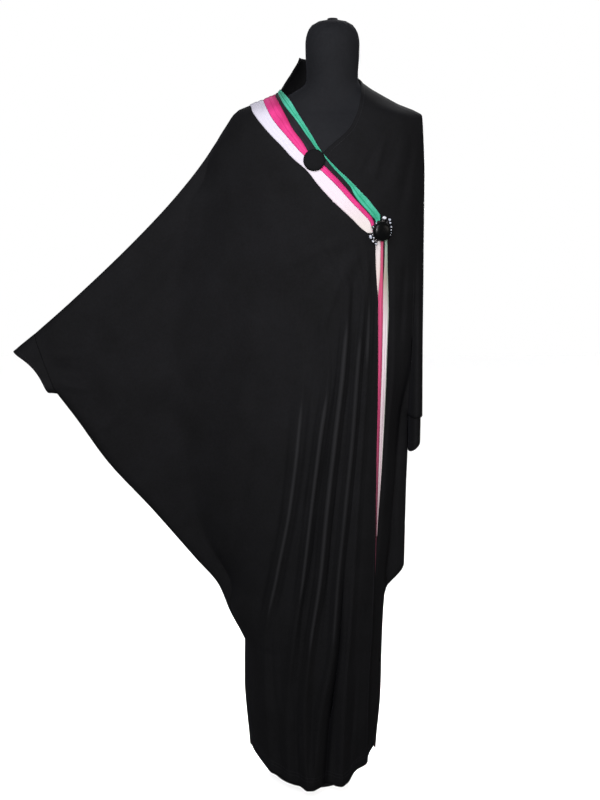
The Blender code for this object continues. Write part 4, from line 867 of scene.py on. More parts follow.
def ringFaces(rows, count, looped=False):
    # Quads between rings of points; the ends are closed, or meet where it is looped
    faces = []
    for i in range(rows if looped else rows - 1):
        for j in range(count):
            k, below, above = (j + 1) % count, i * count, (i + 1) % rows * count
            faces.append((below + j, below + k, above + k, above + j))
    if not looped:
        faces += [tuple(range(count))[::-1], tuple(range((rows - 1) * count, rows * count))]
    return faces


def ringShape(rings):
    return [tuple(point) for ring in rings for point in ring], ringFaces(len(rings), len(rings[0]))


def ringNormals(ring):
    tangent = np.roll(ring, -1, axis=0) - np.roll(ring, 1, axis=0)
    centre = ring.mean(0)
    axis = np.cross(ring - centre, np.roll(ring, -1, axis=0) - centre).sum(0)
    return unit(np.cross(tangent, axis))


def wayAround(rings):
    return np.linalg.norm(np.roll(rings, -1, axis=1) - rings, axis=-1).cumsum(axis=1)


def makeTube(name, rings):
    rings = np.array(rings)
    along = np.linspace(0, 1, len(rings))[:, None]
    hem = ease((along - cuffSizes["hemFrom"]) / cuffSizes["hemFade"])[..., None]
    away = np.array([ringNormals(ring) for ring in rings])
    around = wayAround(rings)
    # Faint pulls round the cuff
    turn = around / cuffSizes["rippleLength"] + 2 * along
    ripple = cuffSizes["ripple"] * np.sin(turn)[..., None] * (1 - hem)
    outer = rings + away * (garment["cloth"] / 2 + cuffSizes["hemOut"] * hem + ripple)
    inner = rings + away * (garment["cloth"] / 2 - garment["shown"] - cuffSizes["hemIn"] * hem + ripple)
    uv = np.stack([around, -(wayAlong(rings)[:, None] + 0 * around)], axis=-1)
    stack, uv = np.concatenate([outer, inner[::-1]]), np.concatenate([uv, uv[::-1]])
    faces = ringFaces(stack.shape[0], stack.shape[1], looped=True)
    return addPiece(name, stack.reshape(-1, 3), faces, uv.reshape(-1, 2)), outer


def spreadCuffRings():
    (top, low), (edgeTop, edgeLow) = np.array([edges["cuffSeam"], edges["cuffEdge"]])
    share = (0.5 - 0.5 * np.cos(np.linspace(0, math.pi, cuffSizes["around"])))[:, None]
    seam = top + (low - top) * share
    edge = edgeTop + (edgeLow - edgeTop) * share
    wayX, wayZ = edgeLow - edgeTop
    sag = cuffSizes["sag"] * np.sin(math.pi * share)
    edge += np.array([-wayZ, wayX]) / math.hypot(wayX, wayZ) * sag
    start = seam + unit(edge - seam) * 3 * garment["gap"]
    front, back = (depth(seam[:, 0], seam[:, 1], face, False) for face in (-1, 1))
    rings = []
    for station in np.linspace(0, 1, cuffSizes["along"]):
        flare = 1 + cuffSizes["flare"] * station
        spot = start + (edge - start) * station
        line = [(x, -y * flare, z) for (x, z), y in zip(spot, front)]
        line += [(x, y * flare, z) for (x, z), y in zip(spot[-2:0:-1], back[-2:0:-1])]
        rings.append(line)
    return rings


def hangingCuffRings():
    rings = []
    turn = np.array(turns(cuffSizes["hangingAround"]))
    for z in np.linspace(hangingCuff[0][0], hangingCuff[-1][0], cuffSizes["along"]):
        slant, halfWidth, halfDepth = (fromTable(hangingCuff, z, 0, k) for k in (1, 2, 3))
        rings.append(np.column_stack([cuffSizes["hangingX"] + halfWidth * np.cos(turn),
                                      halfDepth * np.sin(turn), z + slant * np.cos(turn)]))
    return rings


cuffSpread, spreadSurface = makeTube("cuffSpread", spreadCuffRings())
cuffHanging, hangingSurface = makeTube("cuffHanging", hangingCuffRings())
print("cuffs made")

# Fastenings


def facing(x, z, lift):
    # A frame on the front at (x, z), its Z pointing out of the cloth
    step = 0.008
    y = -depth(x + step * np.array([0, 1, -1, 0, 0]), z + step * np.array([0, 0, 0, 1, -1]), -1, False)
    right = Vector((2 * step, y[1] - y[2], 0.0))
    up = Vector((0.0, y[3] - y[4], 2 * step))
    out = right.cross(up).normalized()
    up = (up - out * up.dot(out)).normalized()
    turn = Matrix((up.cross(out), up, out)).transposed().to_4x4()
    return Matrix.Translation(Vector((x, y[0], z)) + out * lift) @ turn


def turnedShape(profile, segments, ripple=None):
    # Rings of (radius, height) turned about Z, closed at both ends
    rings = []
    for radius, height in profile:
        ring = []
        for turn in turns(segments):
            reach = radius * (1 + (ripple(height, turn) if ripple else 0))
            ring.append((reach * math.cos(turn), reach * math.sin(turn), height))
        rings.append(ring)
    return ringShape(rings)


def moved(shape, place):
    vertices, faces = shape
    return [tuple(place @ Vector(v)) for v in vertices], faces


def joined(shapes):
    vertices, faces = [], []
    for shape in shapes:
        start = len(vertices)
        vertices += shape[0]
        faces += [tuple(v + start for v in face) for face in shape[1]]
    return vertices, faces


def smoothProfile(radius, height, foot, rows, count):
    # A smooth outline through (share of the radius, share of the height over the foot)
    points = np.array([(radius * out, foot + height * up) for out, up in rows])
    return curve(points, np.linspace(0, len(rows) - 1, count))


buttonSizes = {"radius": 0.0222, "height": 0.0090, "lift": 0.0052, "place": (-0.0377, 1.3697),
               "pleats": 22, "pleatDepth": 0.014, "pleatTop": 0.60, "pleatFade": 0.45}
buttonProfile = smoothProfile(buttonSizes["radius"], buttonSizes["height"], 0.0, [
    (0.80, 0.0), (0.97, 0.18), (1.0, 0.40), (0.955, 0.64), (0.86, 0.80), (0.70, 0.905),
    (0.45, 0.97), (0.20, 0.995), (0.04, 1.0)], 30)


def pleats(height, turn):
    # The cover is gathered under the rim
    down = buttonSizes["height"] * buttonSizes["pleatTop"] - height
    fall = float(ease(down / (buttonSizes["height"] * buttonSizes["pleatFade"])))
    return buttonSizes["pleatDepth"] * fall * math.sin(buttonSizes["pleats"] * turn)


button = addPiece("coveredButton", *moved(turnedShape(buttonProfile, 88, pleats),
                                          facing(*buttonSizes["place"], buttonSizes["lift"])))

broochSizes = {"radius": 0.0195, "height": 0.0100, "plate": 0.0015, "lift": 0.0051,
               "place": (0.0954, 1.2294), "plateReach": 0.0325, "bevel": 0.0006,
               "stoneHeight": 0.0040, "pinHeight": 0.0018, "claw": 1.05,
               "around": 144, "rim": 0.95, "armShare": 0.40, "armReach": 0.9}
# Stones: distance and angle from the dome's centre, length along the radius, width
stones = {
    "stone_upper_1": (0.0280, 79, 0.0072, 0.0098), "stone_upper_2": (0.0290, 54, 0.0056, 0.0064),
    "stone_upper_3": (0.0250, 43, 0.0042, 0.0047), "stone_upper_4": (0.0225, 23, 0.0036, 0.0042),
    "stone_lower_1": (0.0268, 202, 0.0062, 0.0088), "stone_lower_2": (0.0272, 224, 0.0050, 0.0056),
    "stone_lower_3": (0.0276, 242, 0.0040, 0.0045),
}
# Where the plate reaches out without a stone, over the ribbons' ends
plateArms = [(0.0222, 152, 0.0060, 0.0150), (0.0215, 110, 0.0060, 0.0150)]
# Pin-head stones round the dome: distance, angle, width
tinyStones = [(0.0212, 6, 0.0030), (0.0208, 126, 0.0032), (0.0212, 152, 0.0024),
              (0.0214, 168, 0.0022), (0.0212, 182, 0.0022), (0.0214, 214, 0.0030),
              (0.0212, 352, 0.0022), (0.0212, 338, 0.0020), (0.0214, 196, 0.0022)]
broochPlace = facing(*broochSizes["place"], broochSizes["lift"])
seat = broochSizes["plate"] + garment["gap"]


def plateShape():
    # Thin cast plate with a bevelled rim and an arm under each stone
    outline, share = [], broochSizes["armShare"]
    for turn in turns(broochSizes["around"]):
        reach = broochSizes["radius"] * broochSizes["rim"]
        for distance, angle, length, width in [*stones.values(), *plateArms]:
            away = (math.radians(angle) - turn + math.pi) % (2 * math.pi) - math.pi
            arm = max(0.0, distance + length * share - reach)
            reach += arm * math.exp(-(away * distance / width / share) ** 2) * broochSizes["armReach"]
        outline.append((min(reach, broochSizes["plateReach"]), turn))
    thick, bevel = broochSizes["plate"], broochSizes["bevel"]
    rows = ((bevel, 0.0), (0.0, 0.0004), (0.0, thick - 0.0005), (bevel, thick))
    return ringShape([[((reach - inset) * math.cos(turn), (reach - inset) * math.sin(turn), height)
                       for reach, turn in outline] for inset, height in rows])


def stoneShape(length, width, height, sides=10):
    # Girdle, crown facets and table, half a step turned between rows as a cutter does
    vertices, faces = [], []
    for share, lift, twist in ((0.90, 0.00, 0.0), (1.00, 0.30, 0.0), (0.80, 0.72, 0.5), (0.52, 1.00, 0.0)):
        vertices += [(share * length / 2 * math.cos(turn), share * width / 2 * math.sin(turn),
                      lift * height) for turn in turns(sides, twist)]
    for j in range(sides):
        k = (j + 1) % sides
        a, b, c = sides, 2 * sides, 3 * sides
        faces += [(j, k, a + k, a + j), (a + j, a + k, b + j), (a + k, b + k, b + j),
                  (b + j, b + k, c + k), (b + j, c + k, c + j)]
    faces += [tuple(range(sides))[::-1], tuple(range(3 * sides, 4 * sides))]
    return vertices, faces


def clawShape(length, width, height):
    # A cup's rim round a stone, and four claws that reach up to its girdle
    reach = broochSizes["claw"]
    vertices, faces = turnedShape([(1.00, 0.0), (1.10, 0.0), (1.12, 0.30), (1.06, 0.40)], 20)
    shapes = [([(x * length / 2 * reach, y * width / 2 * reach, z * height)
                for x, y, z in vertices], faces[:-2])]
    claw = turnedShape([(0.00040, 0.0), (0.00042, height * 0.45), (0.00034, height * 0.62),
                        (0.00008, height * 0.70)], 8)
    for turn in turns(4, 0.5):
        x, y = length / 2 * reach * math.cos(turn), width / 2 * reach * math.sin(turn)
        shapes.append(moved(claw, Matrix.Translation((x, y, 0.0))))
    return joined(shapes)


def stonePlace(distance, angle):
    turn = math.radians(angle)
    spot = Matrix.Translation((distance * math.cos(turn), distance * math.sin(turn), seat))
    return broochPlace @ spot @ Matrix.Rotation(turn, 4, "Z")


broochPlate = addPiece("broochPlate", *moved(plateShape(), broochPlace))
domeProfile = smoothProfile(broochSizes["radius"], broochSizes["height"], seat, [
    (0.98, 0.0), (1.0, 0.15), (0.94, 0.45), (0.76, 0.75), (0.42, 0.94), (0.05, 1.0)], 26)
broochDome = addPiece("broochDome", *moved(turnedShape(domeProfile, 72), broochPlace))
stonePieces, claws = {}, []
for name, (distance, angle, *size) in stones.items():
    size, place = (*size, broochSizes["stoneHeight"]), stonePlace(distance, angle)
    stonePieces[name] = addPiece("cut" + name.title().replace("_", ""),
                                 *moved(stoneShape(*size), place), flat=True)
    claws.append(moved(clawShape(*size), place))
tiny = [moved(stoneShape(width, width, broochSizes["pinHeight"], 8), stonePlace(distance, angle))
        for distance, angle, width in tinyStones]
pinStones = addPiece("pinStones", *joined(tiny), flat=True)
clawSettings = addPiece("clawSettings", *joined(claws))
print("fastenings made")

# Dress form, pole and base
formSizes = {"around": 96, "rowStep": 0.007, "seamGroove": 0.0008, "seamWidth": 0.0022,
             "seamTop": 1.64, "seamFade": 0.02, "halfDepth": 0.08,
             "pleats": 18, "pleatsFrom": 1.632, "pleatDepth": 0.020, "pleatFade": 0.014,
             "buttonRadius": 0.0110, "buttonHeight": 0.0050, "buttonFoot": 1.6555}
# Rings: z, half width, front, back
formRings = metres([
    (1656, 12, 11, 11), (1653, 28, 26, 26), (1645, 42, 39, 39), (1630, 52, 49, 49), (1610, 56, 53, 53),
    (1580, 55.5, 52, 53), (1550, 53.5, 50, 51), (1534, 53.5, 49, 48), (1520, 63.5, 49, 52),
    (1507, 85, 51, 57), (1495, 109, 52, 56), (1482.8, 135, 54, 55.5), (1472.6, 156.5, 58, 58),
    (1463.7, 173, 64, 62), (1450, 179, 76, 72), (1420, 179, 94, 88), (1380, 174, 106, 96),
    (1330, 165, 118, 102), (1280, 156, 125, 103), (1220, 143, 117, 98), (1150, 128, 104, 92),
    (1090, 121, 97, 89), (1030, 130, 100, 96), (960, 143, 104, 104), (900, 148, 103, 106),
    (860, 144, 100, 103),
])


def formGrid():
    heights = sorted(ring[0] for ring in formRings)
    z = np.concatenate([
        np.linspace(a, b, max(2, int((b - a) / formSizes["rowStep"]) + 1))[:-1]
        for a, b in zip(heights[:-1], heights[1:])] + [[heights[-1]]])
    turn = np.array(turns(formSizes["around"]))
    wide, front, back = (fromTable(formRings, z, 0, k)[:, None] for k in (1, 2, 3))
    x = wide * np.cos(turn)
    y = np.where(np.sin(turn)[None, :] < 0, front, back) * np.sin(turn)
    # A pressed-open seam down the back and gathers at the top of the neck
    seam = np.exp(-(x / formSizes["seamWidth"]) ** 2) * (y > 0)
    seam = seam * ease((formSizes["seamTop"] - z) / formSizes["seamFade"])[:, None]
    gather = ease((z - formSizes["pleatsFrom"]) / formSizes["pleatFade"])[:, None]
    gather = gather * np.sin(formSizes["pleats"] * turn)
    shrink = (1 - seam * formSizes["seamGroove"] / formSizes["halfDepth"]
              + formSizes["pleatDepth"] * gather)
    return np.stack([x * shrink, y * shrink, z[:, None] + 0 * x], axis=-1)


grid = formGrid()
formUv = np.stack([wayAround(grid), grid[..., 2]], axis=-1).reshape(-1, 2)
formCover = addPiece("formCover", *ringShape(grid), formUv)
neckProfile = smoothProfile(formSizes["buttonRadius"], formSizes["buttonHeight"], 0.0, [
    (0.8636, 0.0), (1.0, 0.24), (0.9455, 0.60), (0.6364, 0.88), (0.0455, 1.0)], 18)
neckButton = addPiece("neckButton", *moved(
    turnedShape(neckProfile, 40), Matrix.Translation((0, 0, formSizes["buttonFoot"]))))

poleSizes = {"radius": 0.0125, "foot": 0.019, "footHeight": 0.006, "top": 0.8597,
             "collar": 0.0170, "collarHeight": 0.030, "bevel": 0.0006}
baseSizes = {"x": -0.035, "y": 0.062, "halfWidth": 0.095, "halfDepth": 0.116,
             "thick": 0.009, "bevel": 0.002, "footBevel": 0.0008, "around": 120}
foot = baseSizes["thick"] + garment["gap"]
footTop, bevel = foot + poleSizes["footHeight"], poleSizes["bevel"]
collarFoot = poleSizes["top"] - poleSizes["collarHeight"]
pole = addPiece("standPole", *turnedShape([
    (poleSizes["foot"] - bevel, foot), (poleSizes["foot"], foot + bevel),
    (poleSizes["foot"], foot + poleSizes["footHeight"] * 0.7), (poleSizes["foot"] * 0.9, footTop),
    (poleSizes["radius"] + bevel, footTop), (poleSizes["radius"], footTop + bevel),
    (poleSizes["radius"], collarFoot), (poleSizes["collar"], collarFoot + 0.0005),
    (poleSizes["collar"], poleSizes["top"] - 0.0010),
    (poleSizes["collar"] - 0.0008, poleSizes["top"])], 56))


def baseShape():
    thick, bevel, footBevel = (baseSizes[name] for name in ("thick", "bevel", "footBevel"))
    rows = [(footBevel, 0.0), (0.0, footBevel), (0.0, thick - bevel)]
    # The upper rim is rounded
    rows += [(bevel * (1 - math.cos(t)), thick - bevel * (1 - math.sin(t)))
             for t in np.linspace(0.35, math.pi / 2, 5)]
    return ringShape([[(baseSizes["x"] + (baseSizes["halfWidth"] - inset) * math.cos(turn),
                        baseSizes["y"] + (baseSizes["halfDepth"] - inset) * math.sin(turn),
                        height) for turn in turns(baseSizes["around"])]
                      for inset, height in rows])


base = addPiece("standBase", *baseShape())
print("form and stand made")

# Sewing: single stitches laid on the cloth along its hems and edges
stitchSizes = {"length": 0.0030, "space": 0.0014, "radius": 0.00028, "proud": 0.0002,
               "thick": (0.22, 0.78), "sides": 6, "wrapTop": 1.19, "neckEnd": 1.27, "cuffRing": -5}


def stitchLine(points, normals):
    # Small rounded threads along a line of points
    gone = wayAlong(points)
    pitch = stitchSizes["length"] + stitchSizes["space"]
    sides = stitchSizes["sides"]
    shapes = []
    for start in np.arange(pitch, gone[-1] - pitch, pitch):
        at = np.array([start, start + stitchSizes["length"]])
        ends = np.column_stack([np.interp(at, gone, points[:, k]) for k in range(3)])
        out = unit(np.array([np.interp(start, gone, normals[:, k]) for k in range(3)]))
        side = np.cross(unit(ends[1] - ends[0]), out)
        vertices, faces = [tuple(ends[0])], []
        for share in stitchSizes["thick"]:
            centre = ends[0] + (ends[1] - ends[0]) * share + out * stitchSizes["proud"]
            vertices += [tuple(centre + stitchSizes["radius"]
                               * (side * math.cos(turn) + out * math.sin(turn)))
                         for turn in turns(sides)]
        vertices.append(tuple(ends[1]))
        for j in range(sides):
            k = (j + 1) % sides
            faces += [(0, 1 + k, 1 + j), (1 + j, 1 + k, 1 + sides + k, 1 + sides + j),
                      (1 + 2 * sides, 1 + sides + j, 1 + sides + k)]
        shapes.append((vertices, faces))
    return shapes


# Each line of stitches: the panel's surface, its face, and the rows and columns it runs along
sleeve, lowest = panelColumns["sleeve"], len(panelLevel) - 2
seams = []
for inset in (garment["hemWidth"], garment["hemWidth"] + garment["seamSpacing"]):
    row = rowAt(hemBase + inset)
    seams += [(wrapSurface, -1, row, slice(2, -2)), (underSurface, -1, row, slice(8, -sleeve - 2)),
              (backSurface, 1, row, slice(2, -sleeve - 2))]
seams += [(wrapSurface, -1, slice(rowAt(stitchSizes["wrapTop"]), lowest), -3),
          (underSurface, -1, slice(1, rowAt(stitchSizes["neckEnd"])), 3)]
sewing = []
for surface, face, rows, columns in seams:
    sewing += stitchLine(surface[rows, columns], gridNormals(surface, face)[rows, columns])
for surface in (spreadSurface, hangingSurface):
    ring = surface[stitchSizes["cuffRing"]]
    away = ringNormals(ring)
    sewing += stitchLine(np.concatenate([ring, ring[:1]]), np.concatenate([away, away[:1]]))
clothStitches = addPiece("clothStitches", *joined(sewing))
print("sewing made:", len(sewing), "stitches")

# Materials


def colour(hexValue):
    # sRGB hex to linear
    parts = [int(hexValue[k:k + 2], 16) / 255 for k in (1, 3, 5)]
    return tuple(c / 12.92 if c <= 0.04045 else ((c + 0.055) / 1.055) ** 2.4 for c in parts) + (1.0,)


def setInputs(tree, node, inputs):
    # An input is a value, a colour in hex or another node's output
    for name, value in inputs.items():
        if isinstance(value, bpy.types.NodeSocket):
            tree.links.new(value, node.inputs[name])
        else:
            node.inputs[name].default_value = colour(value) if isinstance(value, str) else value


def addNode(tree, kind, inputs=None, out=0, stops=(), **settings):
    # A node with its settings, its links and a colour ramp's stops; gives back one output
    node = tree.nodes.new("ShaderNode" + kind)
    for name, value in settings.items():
        setattr(node, name, value)
    setInputs(tree, node, inputs or {})
    if stops:
        elements = node.color_ramp.elements
        while len(elements) < len(stops):
            elements.new(0.5)
        for element, (position, hexValue) in zip(elements, stops):
            element.position, element.color = position, colour(hexValue)
    return node.outputs[out]


def newMaterial(name):
    made = bpy.data.materials.new(name)
    made.use_nodes = True
    return made, partial(addNode, made.node_tree)


def shaded(made, inputs):
    setInputs(made.node_tree, made.node_tree.nodes["Principled BSDF"], inputs)
    return made


def waveScale(millimetres):
    # Blender's wave repeats every pi / 10 over its scale
    return math.pi / 10 / (millimetres / 1000)


def noiseScale(millimetres):
    return 1000 / millimetres


def knit(node, wale, course, acrossScale=(1, 1, 1)):
    # Wales and courses of a plain knit, as one height from 0 to 1
    uv = node("UVMap", uv_map="cloth")
    place = node("Mapping", {"Vector": uv, "Scale": acrossScale})
    wales, courses = (
        node("TexWave", {"Vector": place, "Scale": waveScale(length), "Detail": 1.0,
                         "Distortion": unrest, "Detail Scale": 2.0}, "Fac", bands_direction=way)
        for way, length, unrest in (("X", wale, 0.6), ("Y", course, 0.8)))
    return node("Math", {0: wales, 1: courses}, operation="MULTIPLY")


def jersey(name, dark, light, ridgeHighlight, wale, course, sheen, level):
    # Viscose jersey, knitted fine and piece dyed: soft, almost matt, with a painted highlight on sharp
    # fold ridges and painted shade in the hollows. Real wales are 0.8 mm apart; drawn twice as wide, or
    # they would not show
    made, node = newMaterial(name)
    spot = node("TexCoord", out="Object")
    height = knit(node, wale, course)
    wear, lint = (
        node("TexNoise", {"Vector": spot, "Scale": noiseScale(grain), "Detail": detail,
                          "Roughness": unrest})
        for grain, detail, unrest in ((90, 4.0, 0.6), (5, 3.0, 0.7)))
    mixed = node("Math", {0: wear, 1: lint}, operation="ADD")
    shade = node("Math", {0: mixed, 1: 0.5}, operation="MULTIPLY")
    tone = node("ValToRGB", {"Fac": shade}, stops=[(0.36, dark), (0.64, light)])
    loops = node("ValToRGB", {"Fac": height}, stops=[(0.0, "#B4B4B8"), (1.0, "#FFFFFF")])
    dyed = node("Mix", {0: 1.0, 6: tone, 7: loops}, 2, data_type="RGBA", blend_type="MULTIPLY")
    # Painted highlight: sharp ridges are painted paler. Painted shade: hollows are painted darker
    relief = node("Attribute", out="Fac", attribute_name="relief")
    ridgeHighlightMask = node("MapRange", {"Value": relief, "From Min": 0.40, "From Max": 1.0},
                  interpolation_type="SMOOTHSTEP")
    hollowShadeMask = node("MapRange", {"Value": relief, "From Min": -0.05, "From Max": -0.60,
                             "To Max": 0.50}, interpolation_type="SMOOTHSTEP")
    pale = node("Mix", {0: ridgeHighlightMask, 6: dyed, 7: ridgeHighlight}, 2, data_type="RGBA")
    final = node("Mix", {0: hollowShadeMask, 6: pale, 7: "#040405"}, 2, data_type="RGBA")
    loopBump = node("Bump", {"Strength": 0.35, "Distance": 0.0006, "Height": height})
    lintBump = node("Bump", {"Strength": 0.25, "Distance": 0.0010, "Height": lint, "Normal": loopBump})
    return shaded(made, {"Roughness": 0.80, "Sheen Weight": sheen, "Sheen Roughness": 0.45,
                         "Sheen Tint": "#C9CCE0", "Specular IOR Level": level,
                         "Base Color": final, "Normal": lintBump})


def ribbonKnit(name, dark="", plain="", light="", lines=(), lineColour="#000000", fade=()):
    # Soft tubular knit ribbon, dyed: matt, its long folds shaded by the light; on some ribbons lines of
    # painted shade lie along it. Its dye is patchy, or its colour changes on the way down where fade gives
    # heights and colours.
    # The pattern's across runs from 0 to 1 over the ribbon's width, its along in metres
    made, node = newMaterial(name)
    spot = node("TexCoord", out="Object")
    height = knit(node, 2.2, 2.6, (0.018, 1, 1))
    if fade:
        top, bottom = fade[0][0], fade[-1][0]
        z = node("SeparateXYZ", {0: spot}, "Z")
        place = node("MapRange", {"Value": z, "From Min": top, "From Max": bottom})
        stops = [((top - at) / (top - bottom), shade) for at, shade in fade]
    else:
        place = node("TexNoise", {"Vector": spot, "Scale": noiseScale(30), "Detail": 3.0})
        stops = [(0.30, dark), (0.50, plain), (0.72, light)]
    tone = node("ValToRGB", {"Fac": place}, stops=stops)
    loops = node("ValToRGB", {"Fac": height}, stops=[(0.0, "#EEEEEE"), (1.0, "#FFFFFF")])
    final = node("Mix", {0: 1.0, 6: tone, 7: loops}, 2, data_type="RGBA", blend_type="MULTIPLY")
    if lines:
        # Lengthwise lines, darker, and a little uneven
        across = node("SeparateXYZ", {0: node("UVMap", uv_map="cloth")})
        wander = node("TexNoise", {"Vector": spot, "Scale": noiseScale(40), "Detail": 1.0})
        sway = node("Math", {0: wander, 1: 0.08, 2: across}, operation="MULTIPLY_ADD")
    for line, halfWidth, strength in lines:
        away = node("Math", {0: sway, 1: line + 0.04}, operation="SUBTRACT")
        away = node("Math", {0: away}, operation="ABSOLUTE")
        share = node("MapRange", {"Value": away, "From Min": 0.0, "From Max": halfWidth,
                                  "To Min": strength, "To Max": 0.0},
                     interpolation_type="SMOOTHSTEP")
        final = node("Mix", {0: share, 6: final, 7: lineColour}, 2, data_type="RGBA")
    bump = node("Bump", {"Strength": 0.30, "Distance": 0.0005, "Height": height})
    return shaded(made, {"Roughness": 0.80, "Sheen Weight": 0.04, "Sheen Roughness": 0.5,
                         "Specular IOR Level": 0.15, "Base Color": final, "Normal": bump})


def grained(name, grain, detail, stops, surface, gloss=None, unrest=0.5, relief=0.0):
    # A hard finish: its grain varies the colour and, where given, the roughness and relief
    made, node = newMaterial(name)
    spot = node("TexCoord", out="Object")
    speck = node("TexNoise", {"Vector": spot, "Scale": noiseScale(grain),
                              "Detail": detail, "Roughness": unrest})
    inputs = {"Base Color": node("ValToRGB", {"Fac": speck}, stops=stops), **surface}
    if gloss:
        inputs["Roughness"] = node("MapRange", {"Value": speck, "To Min": gloss[0], "To Max": gloss[1]})
    if relief:
        inputs["Normal"] = node("Bump", {"Strength": relief, "Distance": 0.0003, "Height": speck})
    return shaded(made, inputs)


def foiledStone(name):
    # Cut glass with a silver foil behind it: bright facets, each a slightly other tone
    made, node = newMaterial(name)
    spot = node("TexCoord", out="Object")
    cell = node("TexVoronoi", {"Vector": spot, "Scale": noiseScale(2.4)}, "Color")
    grey = node("RGBToBW", {0: cell})
    tone = node("ValToRGB", {"Fac": grey}, stops=[(0.15, "#B9C4D6"), (0.50, "#F2F6FF"), (0.85, "#FFFFFF")])
    return shaded(made, {"Roughness": 0.10, "Metallic": 0.35, "IOR": 1.52, "Base Color": tone})


# The third colour of each jersey is the painted highlight on sharp fold ridges
blackJersey = jersey("viscoseJerseyKnitted", "#191919", "#1F1F20", "#252526", 1.6, 1.5, 0.01, 0.07)
charcoalJersey = jersey("stretchJerseyCover", "#1D1E20", "#252628", "#3A3C40", 1.5, 1.4, 0.02, 0.15)
ribbonMaterials = {
    "white": ribbonKnit("knitRibbonWhite", fade=[
        (1.49, "#D3D0DA"), (1.40, "#D6D2DB"), (1.33, "#DAD0D6"), (1.28, "#DFD1D6"),
        (1.24, "#DFD6D0")]),
    # The pink one's lines are painted shade: in the hollows between its folds, darkest along its right
    # edge
    "pink": ribbonKnit("knitRibbonPink", "#C83374", "#D83A80", "#E04288",
                       [(0.46, 0.07, 0.30), (0.80, 0.14, 0.35), (1.00, 0.20, 0.8)], "#921646"),
    "charcoal": ribbonKnit("knitRibbonCharcoal", "#161518", "#1F1D21", "#28252A",
                           [(0.5, 0.10, 0.5), (0.96, 0.10, 0.8)], "#0E0D0F"),
    # The green one's lines are painted shade in the hollows between its folds and along its left edge
    "green": ribbonKnit("knitRibbonGreen", "#3FA886", "#4DB496", "#5ABDA2",
                        [(0.42, 0.17, 0.85), (0.70, 0.07, 0.45), (0.00, 0.10, 0.60)], "#1F8C66"),
}
tailMaterials = {
    "white": ribbonKnit("knitRibbonWhiteEnd", fade=[
        (1.21, "#DDD6D6"), (1.15, "#E2D2CC"), (1.07, "#DFC2C2")]),
    # The pink end's colour darkens towards the bottom: painted shade
    "pink": ribbonKnit("knitRibbonPinkEnd", fade=[
        (1.21, "#C45874"), (1.05, "#CB4F78"), (0.85, "#BF466E"), (0.68, "#96485E"),
        (0.47, "#6C3A4A")]),
    "mint": ribbonKnit("knitRibbonPale", lines=[(0.92, 0.34, 0.75)], lineColour="#9FB19F", fade=[
        (1.21, "#8FAC9A"), (1.13, "#A89C8E"), (1.03, "#E2D6D8"), (0.80, "#E0CDD2"),
        (0.60, "#B4989C")]),
}
# Powder-coated steel: satin black with a fine even grain
blackSteel = grained("powderCoatedSteel", 1.6, 3.0, [(0.35, "#101012"), (0.65, "#1B1B1E")],
                     {"Specular IOR Level": 0.45}, (0.36, 0.48), relief=0.20)
# Blackened casting: the same black, with more of the mould's grain left in it
castPlate = grained("blackenedCastPlate", 1.2, 3.0, [(0.35, "#0B0B0C"), (0.65, "#1C1B1B")],
                    {"Specular IOR Level": 0.45}, (0.32, 0.44), relief=0.20)
# Black pressed glass, tumbled: deep black with one soft highlight, faintly scuffed
blackGlass = grained("pressedBlackGlass", 3, 5.0, [(0.35, "#040505"), (0.70, "#080909")],
                     {"Specular IOR Level": 0.14, "IOR": 1.52}, (0.24, 0.36), 0.7)
clearStone = foiledStone("foiledCutGlass")
# Spun polyester sewing thread: slightly shinier than the cloth that it holds
blackThread = grained("spunPolyesterThread", 1.5, 2.0, [(0.35, "#131317"), (0.65, "#222228")],
                      {"Roughness": 0.55, "Specular IOR Level": 0.35})
# Rhodium-plated claws: a dark bright metal, duller where it is worn
silverClaws = grained("rhodiumPlatedClaws", 2, 2.0, [(0.3, "#3C3D41"), (0.7, "#76787D")],
                      {"Metallic": 1.0}, (0.18, 0.36))

# Every piece: its material, its slot and the node that it replaces
finishes = [
    (frontWrap, blackJersey, "black_jersey", "front_wrap"),
    (frontUnder, blackJersey, "black_jersey", "front_under"),
    (backPanel, blackJersey, "black_jersey", "back"),
    (cuffSpread, blackJersey, "black_jersey", "cuff_right"),
    (cuffHanging, blackJersey, "black_jersey", "cuff_left"),
    *((bands[name], ribbonMaterials[name], name + "_ribbon", "band_" + name) for name in bands),
    *((tails[name], tailMaterials[name], name + "_ribbon", "tail_" + name) for name in tails),
    (button, blackJersey, "black_jersey", "button"),
    (broochPlate, castPlate, "black_steel", "brooch_plate"),
    (broochDome, blackGlass, "black_glass", "brooch_dome"),
    *((piece, clearStone, "clear_stone", name) for name, piece in stonePieces.items()),
    (pinStones, clearStone, "clear_stone"),
    (clawSettings, silverClaws, "black_steel"),
    (formCover, charcoalJersey, "charcoal_jersey", "form"),
    (neckButton, charcoalJersey, "charcoal_jersey"),
    (pole, blackSteel, "black_steel", "pole"),
    (base, blackSteel, "black_steel", "base"),
    (clothStitches, blackThread, "black_jersey"),
]
for piece, material, slot, *nodes in finishes:
    piece.data.materials.append(material)
    if nodes:
        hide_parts(*nodes)
print("materials made")

